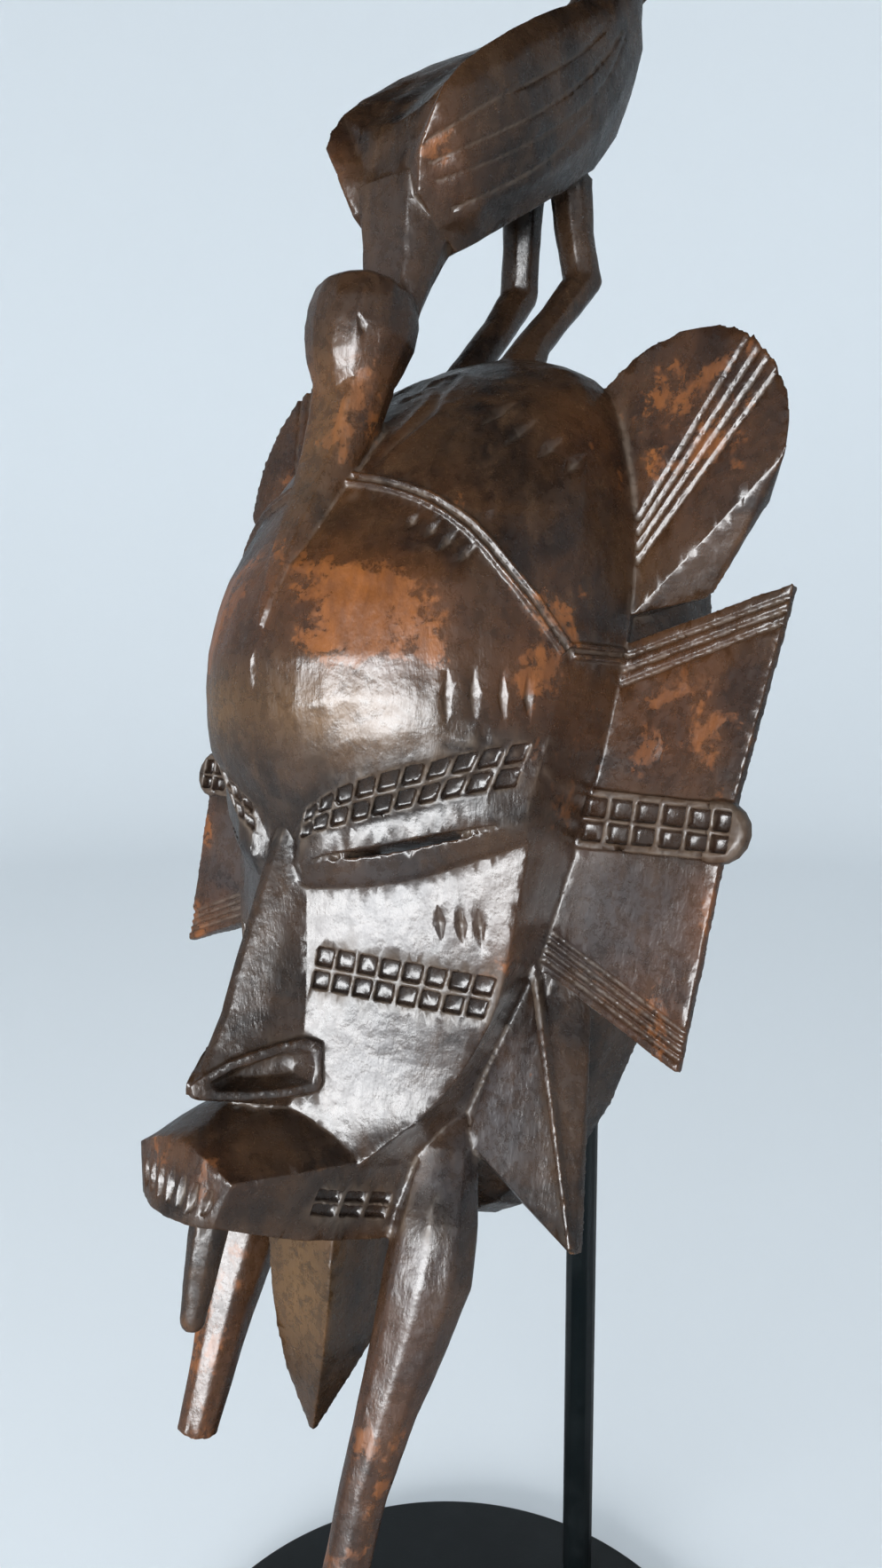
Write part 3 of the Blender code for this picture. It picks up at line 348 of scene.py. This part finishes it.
# The feather lines on the sides of the bird's wings, each as places (y, z)
WING_FEATHERS = (
    ((-56.5, 134.5), (-51, 143.4), (-40, 157.7), (-27, 171.5), (-13, 187.3), (-4, 199.9)),
    ((-54, 134), (-43.3, 145.2), (-28.7, 160), (-15.2, 175.5), (-3.4, 192.1), (3.3, 204.1)),
    ((-55, 125.5), (-47.4, 135.5), (-34.7, 146.8), (-21.4, 160.3), (-9.6, 174.2), (0.2, 189.4),
     (5.5, 203.9)),
    ((-49.9, 124.7), (-38.4, 134.7), (-25.4, 147.4), (-13.9, 161.1), (-4.5, 175.7)),
)
FEATHER_WIDTH, FEATHER_DEPTH = 1.5, 0.55
TOOL_MARK_SIZE, CHIP_SIZE, CHIP_DEPTH = 7.0, 3.2, 0.12


def line_distance(at, line):
    """Distance from places to a bent line, in as many dimensions as they have."""
    best = np.full(len(at), 1e9)
    for start, end in zip(line[:-1], line[1:]):
        start, end = np.array(start, float), np.array(end, float)
        along = end - start
        share = np.clip(((at - start) @ along) / (along @ along), 0, 1)
        best = np.minimum(best, np.linalg.norm(at - start - share[:, None] * along, axis=1))
    return best


def smooth_line(line, steps=5):
    """The same places joined by a smooth curve."""
    points = [np.array(p, float) for p in line]
    points = [2 * points[0] - points[1]] + points + [2 * points[-1] - points[-2]]
    out = []
    for i in range(1, len(points) - 2):
        p0, p1, p2, p3 = points[i - 1:i + 3]
        for k in range(steps):
            t = k / steps
            out.append(0.5 * (2 * p1 + (p2 - p0) * t + (2 * p0 - 5 * p1 + 4 * p2 - p3) * t * t
                              + (3 * p1 - p0 - 3 * p2 + p3) * t ** 3))
    return out + [points[-2]]


def cut(distance, width, depth):
    """A worn V-shaped cut: its depth at each distance from its line."""
    inside = np.clip(1 - distance / (width / 2), 0, 1)
    return depth * inside ** 1.3


def feather_cuts(at, normals):
    """Long lines down the sides of the bird's folded wings."""
    depth = np.zeros(len(at))
    near = (at[:, 2] > 118) & (np.abs(at[:, 0]) > 14) & (np.abs(normals[:, 0]) > 0.6)
    side = at[near][:, 1:]
    for line in WING_FEATHERS:
        here = cut(line_distance(side, smooth_line(line)), FEATHER_WIDTH, FEATHER_DEPTH)
        depth[near] = np.maximum(depth[near], here)
    return depth


def tool_marks(at, depth):
    """Shallow marks of the knife, side by side and longer along the grain."""
    return depth * 1.4 * rough_noise(at, TOOL_MARK_SIZE, 1, (1, 1, 0.55))


def edge_chips(at, ridge):
    """Small losses along the standing edges."""
    speckle = rough_noise(at, CHIP_SIZE, 3, octaves=3)
    return ease(ridge, 0.05, 0.25) * ease(speckle, 0.35, 0.75) * CHIP_DEPTH


# Where the finish changes, and where painted sheen and painted shade go, the same on both sides: each spot's
# middle, its radii and its strength
WARM_SPOTS = (
    ((26, -52, 33), (20, 16, 14), 1.0), ((12, -58, 40), (14, 12, 16), 0.55),
    ((50, -22, 30), (8, 16, 24), 0.5), ((53, -8, 8), (6, 12, 20), 0.5),
    ((66, 0, 92), (22, 9, 26), 0.56), ((72, 0, 24), (22, 9, 20), 0.56),
    ((50, -12, -40), (10, 12, 22), 0.3), ((47, -12, 88), (12, 12, 16), 0.3),
    ((0, -56, 36), (5, 8, 14), 0.75), ((30, -12, -150), (12, 14, 40), 0.5),
    ((20, -34, 60), (16, 14, 9), 0.42), ((22, -14, -170), (12, 12, 24), 0.5),
    ((88, 0, -20), (7, 6, 14), 0.55), ((78, 0, -48), (12, 6, 20), 0.5),
    ((17, -48, 140), (5, 12, 16), 0.5), ((10, -66, -90), (14, 14, 8), 0.55),
    ((6, -50, 84), (10, 10, 24), 0.6),
)
# Painted sheen: a grey tone where the polished cheeks, wings, legs and neck would catch the window's
# reflection
PAINTED_SHEEN_SPOTS = (
    ((28, -34, -32), (20, 16, 15), 0.9), ((26, -26, -62), (16, 14, 14), 1.0),
    ((66, 0, -22), (26, 8, 20), 0.8), ((42, -2, -74), (12, 8, 22), 1.0),
    ((34, -10, -105), (7, 10, 26), 0.8), ((0, -46, 122), (12, 12, 16), 0.25),
    ((10, -54, -20), (8, 14, 30), 0.3),
)
OCHRE_SPOTS = (
    ((0, -16, -126), (13, 8, 30), 0.8), ((0, -54, 78), (9, 7, 26), 0.35),
    ((24, -54, 11), (22, 16, 8), 0.7),
)
# Painted shade: near black in the nostril's hollow, on the face's and lobes' shaded sides, between the
# bird's legs and on the front of its head
PAINTED_SHADE_SPOTS = (
    ((16, -58, -68), (19, 18, 10), 1.0), ((52, -8, -30), (4, 12, 44), 0.7),
    ((10, 0, 128), (10, 12, 26), 0.5), ((0, -70, 118), (14, 12, 12), 0.6),
    ((70, -2, 96), (16, 8, 30), 0.45),
)

# Bands of cells, as lines seen from the front (x, z) or from the side (y, z), with half their width
FRONT_BANDS = (
    (((6, -15.2), (19, -9.4), (31, -3.2), (44, 3.5), (51.5, 8.4)), 5.4),
    (((9, -45.2), (46.5, -45.2)), 5.8), (((51, -1.5), (91, -1.5)), 6.4),
)
JAW_BAND = (((-36.5, -95), (-11, -97.3)), 4.8)
BAND_FADE = 0.8


def in_cells(at, normals):
    """1 within the bands of small sunk cells, 0 elsewhere."""
    inside = np.zeros(len(at))
    front, side = np.column_stack([np.abs(at[:, 0]), at[:, 2]]), at[:, 1:]
    on_front = (at[:, 1] < 2) & (normals[:, 1] < 0.5)
    on_jaw = (np.abs(at[:, 0]) > 9) & (at[:, 1] < -8)
    for line, half in FRONT_BANDS:
        far = line_distance(front, line)
        inside = np.maximum(inside, (1 - ease(far, half, half + BAND_FADE)) * on_front)
    line, half = JAW_BAND
    far = line_distance(side, line)
    return np.maximum(inside, (1 - ease(far, half, half + BAND_FADE)) * on_jaw)


def spots(at, places):
    total = np.zeros(len(at))
    for centre, radii, strength in places:
        total = np.maximum(total, strength * blob(at, centre, radii))
    return total


def write_attribute(mesh, name, values):
    made = mesh.attributes.new(name, "FLOAT", "POINT")
    made.data.foreach_set("value", values.astype(np.float32))


def describe_surface(mesh, web):
    """Stores where the surface is hollow, where it stands out, which wear each region has, and where painted
    sheen and painted shade go.
    """
    co, normals = read_points(mesh), read_normals(mesh)
    at = to_mask(co)
    near = web.relax(co, 0.5, 10)
    far = web.relax(near, 0.5, 30)
    fine = web.relax(((co - near) * normals).sum(axis=1) / MM, 0.5, 1)
    broad = web.relax(((co - far) * normals).sum(axis=1) / MM, 0.5, 1)
    cells, painted_shade = in_cells(at, normals @ np.array(lean())), spots(at, PAINTED_SHADE_SPOTS)
    ribs = cells * ease(fine, -0.02, 0.12)
    hollow = (1 - cells) * (1 - painted_shade) * ease(-fine, 0.05, 0.26)
    write_attribute(mesh, "hollow", np.maximum(hollow, 0.85 * ribs))
    write_attribute(mesh, "crease", (1 - cells) * (1 - painted_shade) * ease(-broad, 0.25, 1.2))
    write_attribute(mesh, "ridge", (1 - cells) * ease(fine, 0.08, 0.34))
    write_attribute(mesh, "warm", spots(at, WARM_SPOTS))
    # Painted sheen: the grey spots stand for the window's reflection on the polish
    write_attribute(mesh, "painted_sheen", spots(at, PAINTED_SHEEN_SPOTS) * (1 - cells))
    write_attribute(mesh, "ochre", spots(at, OCHRE_SPOTS))
    # Painted shade: near black in the shaded spots and on the sunk cell floors between the ribs
    write_attribute(mesh, "painted_shade", np.maximum(painted_shade, cells * (1 - ribs)))


# Materials

def shader_tree(name):
    material = bpy.data.materials.new(name)
    material.use_nodes = True
    return material, material.node_tree, material.node_tree.nodes["Principled BSDF"]


def node(tree, kind, inputs, output=0, **settings):
    """Adds a node with its settings and inputs, linked or constant, and returns one of its outputs."""
    made = tree.nodes.new(kind)
    for name, value in settings.items():
        setattr(made, name, value)
    for key, value in inputs.items():
        if isinstance(value, bpy.types.NodeSocket):
            tree.links.new(value, made.inputs[key])
        else:
            made.inputs[key].default_value = value
    return made.outputs[output]


def maths(tree, operation, a, b=0.0, clamp=False):
    return node(tree, "ShaderNodeMath", {0: a, 1: b}, operation=operation, use_clamp=clamp)


def blend(tree, share, a, b):
    """Goes from one colour to another as the share goes from 0 to 1."""
    a = (*a, 1) if isinstance(a, tuple) else a
    b = (*b, 1) if isinstance(b, tuple) else b
    return node(tree, "ShaderNodeMix", {0: share, 6: a, 7: b}, 2, data_type="RGBA", clamp_factor=True)


def between(tree, value, low, high, to_low=0.0, to_high=1.0):
    inputs = {"Value": value, "From Min": low, "From Max": high, "To Min": to_low, "To Max": to_high}
    return node(tree, "ShaderNodeMapRange", inputs, interpolation_type="SMOOTHSTEP")


def clouds(tree, coords, scale, detail=4.0, roughness=0.6, distortion=0.0):
    inputs = {"Vector": coords, "Scale": scale, "Detail": detail, "Roughness": roughness,
              "Distortion": distortion}
    return node(tree, "ShaderNodeTexNoise", inputs)


def stretched(tree, coords, scale, turn=(0, 0, 0)):
    return node(tree, "ShaderNodeMapping", {"Vector": coords, "Scale": scale, "Rotation": turn})


def stored(tree, name):
    return node(tree, "ShaderNodeAttribute", {}, "Fac", attribute_name=name)


def carved_wood(settings):
    """Stained wood, handled for years: near black, rubbed brown and orange, with dust in its cuts, a painted
    grey sheen and painted shade in its recesses.
    """
    material, tree, shader = shader_tree("carved_wood")
    coords = node(tree, "ShaderNodeTexCoord", {}, "Object")
    grain_space = stretched(tree, coords, (1, 1, 0.16), (math.radians(LEAN_BACK_DEG), 0, 0))
    hollow, crease, ridge = (stored(tree, name) for name in ("hollow", "crease", "ridge"))
    warm, painted_sheen, ochre, painted_shade = (stored(tree, name) for name in ("warm", "painted_sheen", "ochre", "painted_shade"))
    mottle = clouds(tree, coords, 38, 7, 0.66, 0.5)
    patches = clouds(tree, coords, 85, 6, 0.68, 0.35)
    speckle = clouds(tree, coords, 330, 5, 0.7, 0.4)
    grain = clouds(tree, grain_space, 420, 4, 0.6)
    streaks = clouds(tree, grain_space, 130, 6, 0.68, 0.3)

    stain, brown = tuple(settings.near_black), tuple(settings.brown)
    colour = blend(tree, between(tree, mottle, 0.36, 0.64), stain, brown)
    thin = maths(tree, "MULTIPLY", between(tree, streaks, 0.44, 0.70), between(tree, patches, 0.38, 0.62))
    colour = blend(tree, maths(tree, "MULTIPLY", thin, 0.8), colour, (0.050, 0.027, 0.014))
    # Painted sheen: grey where the polish would reflect the window
    sheen_share = maths(tree, "MULTIPLY", painted_sheen, between(tree, speckle, 0.36, 0.62, 0.35, 0.9))
    colour = blend(tree, sheen_share, colour, (0.046, 0.041, 0.042))

    glow = maths(tree, "MULTIPLY", warm, between(tree, mottle, 0.28, 0.58, 0.35, 1.0))
    glow = maths(tree, "MULTIPLY", glow, between(tree, speckle, 0.30, 0.55, 0.55, 1.0))
    colour = blend(tree, maths(tree, "MULTIPLY", glow, 0.85), colour, (0.105, 0.033, 0.007))
    worn = maths(tree, "ADD", maths(tree, "MULTIPLY", warm, 0.30), maths(tree, "MULTIPLY", patches, 0.66))
    worn = maths(tree, "ADD", worn, maths(tree, "MULTIPLY", speckle, 0.22))
    bare = between(tree, worn, 0.585, 0.650)
    deep = blend(tree, between(tree, streaks, 0.35, 0.68), (0.110, 0.036, 0.009), tuple(settings.orange))
    colour = blend(tree, maths(tree, "MULTIPLY", bare, 0.75), colour, deep)

    gilt = maths(tree, "MULTIPLY", ochre, between(tree, speckle, 0.3, 0.6, 0.35, 0.95))
    colour = blend(tree, gilt, colour, (0.140, 0.072, 0.024))

    rubbed = maths(tree, "MULTIPLY", ridge, between(tree, patches, 0.44, 0.60, 0.08, 1.0))
    colour = blend(tree, maths(tree, "MULTIPLY", rubbed, 0.45), colour, (0.200, 0.090, 0.032))

    powder = between(tree, speckle, 0.30, 0.58, 0.30, 1.0)
    settled = maths(tree, "MULTIPLY", hollow, powder)
    film = maths(tree, "MULTIPLY", crease, powder)
    colour = blend(tree, maths(tree, "MULTIPLY", film, 0.30), colour, (0.085, 0.062, 0.044))
    colour = blend(tree, maths(tree, "MULTIPLY", settled, 0.48), colour, tuple(settings.dust))
    # Painted shade: near black in recesses, on shaded sides and on the cell floors
    colour = blend(tree, maths(tree, "MULTIPLY", painted_shade, 0.55), colour, (0.010, 0.0065, 0.005))
    tree.links.new(colour, shader.inputs["Base Color"])

    dull = between(tree, speckle, 0.35, 0.7, settings.gloss - 0.05, settings.gloss + 0.08)
    dull = maths(tree, "ADD", dull, maths(tree, "MULTIPLY", maths(tree, "MAXIMUM", settled, film), 0.30))
    dull = maths(tree, "ADD", dull, maths(tree, "MULTIPLY", bare, 0.06), clamp=True)
    tree.links.new(dull, shader.inputs["Roughness"])
    shader.inputs["Specular IOR Level"].default_value = 0.6
    shader.inputs["Coat Weight"].default_value = 0.35
    shader.inputs["Coat Roughness"].default_value = 0.24

    pores = clouds(tree, stretched(tree, coords, (1, 1, 0.35)), 1500, 3, 0.6)
    lumps = clouds(tree, coords, 240, 3, 0.55)
    height = maths(tree, "ADD", maths(tree, "MULTIPLY", grain, 0.5), maths(tree, "MULTIPLY", pores, 0.22))
    height = maths(tree, "ADD", height, maths(tree, "MULTIPLY", lumps, 0.9))
    bump = node(tree, "ShaderNodeBump", {"Strength": 0.7, "Distance": 0.00042, "Height": height})
    tree.links.new(bump, shader.inputs["Normal"])
    return material


def black_paint(settings):
    """Satin black paint on metal, with faint dust and an orange-peel skin."""
    material, tree, shader = shader_tree("black_metal")
    coords = node(tree, "ShaderNodeTexCoord", {}, "Object")
    haze = clouds(tree, coords, 70, 5, 0.6)
    specks = clouds(tree, coords, 900, 2, 0.5)
    paint = tuple(settings.paint)
    colour = blend(tree, between(tree, haze, 0.45, 0.8, 0.0, 0.35), paint, (0.016, 0.021, 0.023))
    colour = blend(tree, between(tree, specks, 0.70, 0.78, 0.0, 0.35), colour, (0.06, 0.06, 0.058))
    tree.links.new(colour, shader.inputs["Base Color"])
    level = between(tree, haze, 0.3, 0.7, settings.roughness - 0.05, settings.roughness + 0.1)
    tree.links.new(level, shader.inputs["Roughness"])
    shader.inputs["Metallic"].default_value = 0.0
    skin = clouds(tree, coords, 1300, 2, 0.5)
    bump = node(tree, "ShaderNodeBump", {"Strength": 0.2, "Distance": 0.0001, "Height": skin})
    tree.links.new(bump, shader.inputs["Normal"])
    return material


# Building steps

class MASK_OT_carve(bpy.types.Operator):
    """Builds the carved mask from its solid."""
    bl_idname = "mask.carve"
    bl_label = "Carve the mask"

    def execute(self, context):
        settings = context.scene.mask_settings
        piece = copy_of("carved_mask", "mask_carving")
        solid = piece.data.copy()
        crisp = crisp_lines(solid)
        fineness = settings.fineness * 1.0
        apply_modifier(piece, "REMESH", mode="VOXEL", voxel_size=fineness, adaptivity=0.0)
        refine_near(piece, crisp, REFINED_REACH)
        mesh = piece.data
        web = Web(mesh)
        at = set_on_solid(to_mask(read_points(mesh)), solid)
        line, far = nearest_on_lines(crisp, at)
        free = ease(far, ROUNDING_STARTS, ROUNDING_FULL)
        at = even_dome(at, free)
        for _ in range(settings.rounding):
            at = web.relax(at, DRAW_IN * free)
            at = web.relax(at, PUSH_OUT * free)
        on_line = far < ON_LINE_SHARE * fineness / MM
        at[on_line] = line[on_line]
        at = web.relax(at, WEAR_DOWN, settings.softening)
        write_points(mesh, from_mask(at))
        normals = read_normals(mesh) @ np.array(lean())
        ridge = ((at - web.relax(at, 0.5, 8)) * normals).sum(axis=1)
        sink = feather_cuts(at, normals) + edge_chips(at, ridge) + tool_marks(at, settings.tool_marks / MM)
        write_points(mesh, from_mask(at - normals * sink[:, None]))
        describe_surface(mesh, web)
        triangles = len(mesh.loops) - 2 * len(mesh.polygons)
        if triangles > MOST_TRIANGLES:
            apply_modifier(piece, "DECIMATE", ratio=MOST_TRIANGLES / triangles)
        bpy.data.meshes.remove(solid)
        bpy.ops.object.shade_smooth()
        piece.data.materials.append(carved_wood(settings))
        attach(piece, "root")
        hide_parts("carved_mask")
        return {"FINISHED"}


class MASK_OT_stand(bpy.types.Operator):
    """Builds the rod and the round plate."""
    bl_idname = "mask.stand"
    bl_label = "Build the stand"

    def execute(self, context):
        paint = black_paint(context.scene.stand_settings)
        low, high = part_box("stand_disc")
        radius, middle = (high[0] - low[0]) / 2, (low[2] + high[2]) / 2
        bpy.ops.object.select_all(action="DESELECT")
        bpy.ops.mesh.primitive_cylinder_add(
            vertices=160, radius=radius, depth=high[2] - low[2], location=(0, 0, middle))
        plate = context.object
        plate.name = plate.data.name = "base_plate"
        bpy.ops.object.transform_apply(location=True, rotation=True, scale=True)
        apply_modifier(plate, "BEVEL", width=0.0011, segments=3, limit_method="ANGLE")
        bpy.ops.object.shade_smooth_by_angle(angle=math.radians(35))
        rod = copy_of("stand_rod", "upright_rod")
        bpy.ops.object.shade_smooth_by_angle(angle=math.radians(50))
        for piece, replaced in ((plate, "stand_disc"), (rod, "stand_rod")):
            piece.data.materials.clear()
            piece.data.materials.append(paint)
            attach(piece, "root")
            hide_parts(replaced)
        return {"FINISHED"}


class MASK_OT_stage(bpy.types.Operator):
    """Sets up the floor, the backdrop, the lights and the camera."""
    bl_idname = "mask.stage"
    bl_label = "Set the stage"

    def execute(self, context):
        settings = context.scene.stage_settings
        backdrop(settings)
        lights(settings)
        camera()
        return {"FINISHED"}


FLOOR_RADIUS, COVE_RADIUS, WALL_TOP = 1.5, 0.9, 2.6
IN_REFLECTIONS = 0.36


def backdrop(settings):
    """A round floor that curves up into a wall all round, and that shows darker in reflections."""
    bpy.ops.object.select_all(action="DESELECT")
    bpy.ops.mesh.primitive_circle_add(vertices=96, radius=FLOOR_RADIUS, fill_type="NGON", location=(0, 0, 0))
    sweep = bpy.context.object
    sweep.name = sweep.data.name = "floor"
    bpy.ops.object.mode_set(mode="EDIT")
    bpy.ops.mesh.select_mode(type="EDGE")
    bpy.ops.mesh.select_all(action="SELECT")
    bpy.ops.mesh.region_to_loop()
    reach, height = FLOOR_RADIUS, 0.0
    stops = [(FLOOR_RADIUS + COVE_RADIUS * math.sin(a), COVE_RADIUS * (1 - math.cos(a)))
             for a in (math.radians(90 * i / 10) for i in range(1, 11))]
    for next_reach, next_height in stops + [(FLOOR_RADIUS + COVE_RADIUS, WALL_TOP)]:
        bpy.ops.mesh.extrude_edges_move(TRANSFORM_OT_translate={"value": (0, 0, next_height - height)})
        grow = next_reach / reach
        bpy.ops.transform.resize(value=(grow, grow, 1), center_override=(0, 0, 0))
        reach, height = next_reach, next_height
    bpy.ops.object.mode_set(mode="OBJECT")
    bpy.ops.object.shade_smooth()
    material, tree, shader = shader_tree("backdrop")
    mirrored = node(tree, "ShaderNodeLightPath", {}, "Is Glossy Ray")
    darker = tuple(IN_REFLECTIONS * part for part in settings.backdrop)
    seen = blend(tree, mirrored, tuple(settings.backdrop), darker)
    tree.links.new(seen, shader.inputs["Base Color"])
    shader.inputs["Roughness"].default_value = 0.85
    shader.inputs["Specular IOR Level"].default_value = 0.15
    sweep.data.materials.append(material)


def area_light(name, azimuth, elevation, distance, size, power, colour):
    """A soft oval light that faces the mask."""
    a, e = math.radians(azimuth), math.radians(elevation)
    away = Vector((math.sin(a) * math.cos(e), -math.cos(a) * math.cos(e), math.sin(e)))
    data = bpy.data.lights.new(name, "AREA")
    data.shape = "ELLIPSE"
    data.size, data.size_y = size
    data.energy = power
    data.color = colour
    lamp = bpy.data.objects.new(name, data)
    lamp.location = Vector((0, 0, 0.28)) + away * distance
    lamp.rotation_euler = (-away).to_track_quat("-Z", "Y").to_euler()
    lamp.visible_camera = False
    bpy.context.scene.collection.objects.link(lamp)


def lights(settings):
    area_light("window", 19, 0, 1.35, (1.75, 0.50), settings.window_power, (0.96, 0.98, 1.0))
    world = bpy.data.worlds.new("room")
    bpy.context.scene.world = world
    world.use_nodes = True
    background = world.node_tree.nodes["Background"]
    background.inputs["Color"].default_value = (0.93, 0.97, 1.0, 1)
    background.inputs["Strength"].default_value = settings.room_light
    world.cycles_visibility.glossy = False


CAMERA_AT = (0.20887, -0.23181, 0.31266)
CAMERA_YAW_DEG, CAMERA_PITCH_DEG, CAMERA_LENS = 42.36, -6.41, 27.056


def camera():
    data = bpy.data.cameras.new("camera")
    data.sensor_width = 36
    data.lens = CAMERA_LENS
    data.clip_start = 0.01
    shot = bpy.data.objects.new("camera", data)
    yaw, pitch = math.radians(CAMERA_YAW_DEG), math.radians(CAMERA_PITCH_DEG)
    ahead = Vector((-math.sin(yaw) * math.cos(pitch), math.cos(yaw) * math.cos(pitch), math.sin(pitch)))
    shot.location = CAMERA_AT
    shot.rotation_euler = ahead.to_track_quat("-Z", "Y").to_euler()
    bpy.context.scene.collection.objects.link(shot)
    bpy.context.scene.camera = shot
    bpy.context.scene.view_settings.view_transform = "Standard"


class MASK_PT_panel(bpy.types.Panel):
    """Lists the building steps and their settings."""
    bl_idname = "MASK_PT_panel"
    bl_label = "Carved mask"
    bl_space_type = "VIEW_3D"
    bl_region_type = "UI"
    bl_category = "Mask"

    def draw(self, context):
        scene = context.scene
        groups = (("mask.carve", scene.mask_settings), ("mask.stand", scene.stand_settings),
                  ("mask.stage", scene.stage_settings))
        for operator, settings in groups:
            box = self.layout.box()
            for name in settings.__annotations__:
                box.prop(settings, name)
            box.operator(operator)


CLASSES = (
    MaskSettings, StandSettings, StageSettings, MASK_OT_carve, MASK_OT_stand, MASK_OT_stage, MASK_PT_panel,
)


def register():
    for cls in CLASSES:
        bpy.utils.register_class(cls)
    bpy.types.Scene.mask_settings = bpy.props.PointerProperty(type=MaskSettings)
    bpy.types.Scene.stand_settings = bpy.props.PointerProperty(type=StandSettings)
    bpy.types.Scene.stage_settings = bpy.props.PointerProperty(type=StageSettings)


def unregister():
    for name in ("mask_settings", "stand_settings", "stage_settings"):
        delattr(bpy.types.Scene, name)
    for cls in reversed(CLASSES):
        bpy.utils.unregister_class(cls)


def main():
    register()
    bpy.ops.mask.carve()
    bpy.ops.mask.stand()
    bpy.ops.mask.stage()


if __name__ == "__main__":
    main()
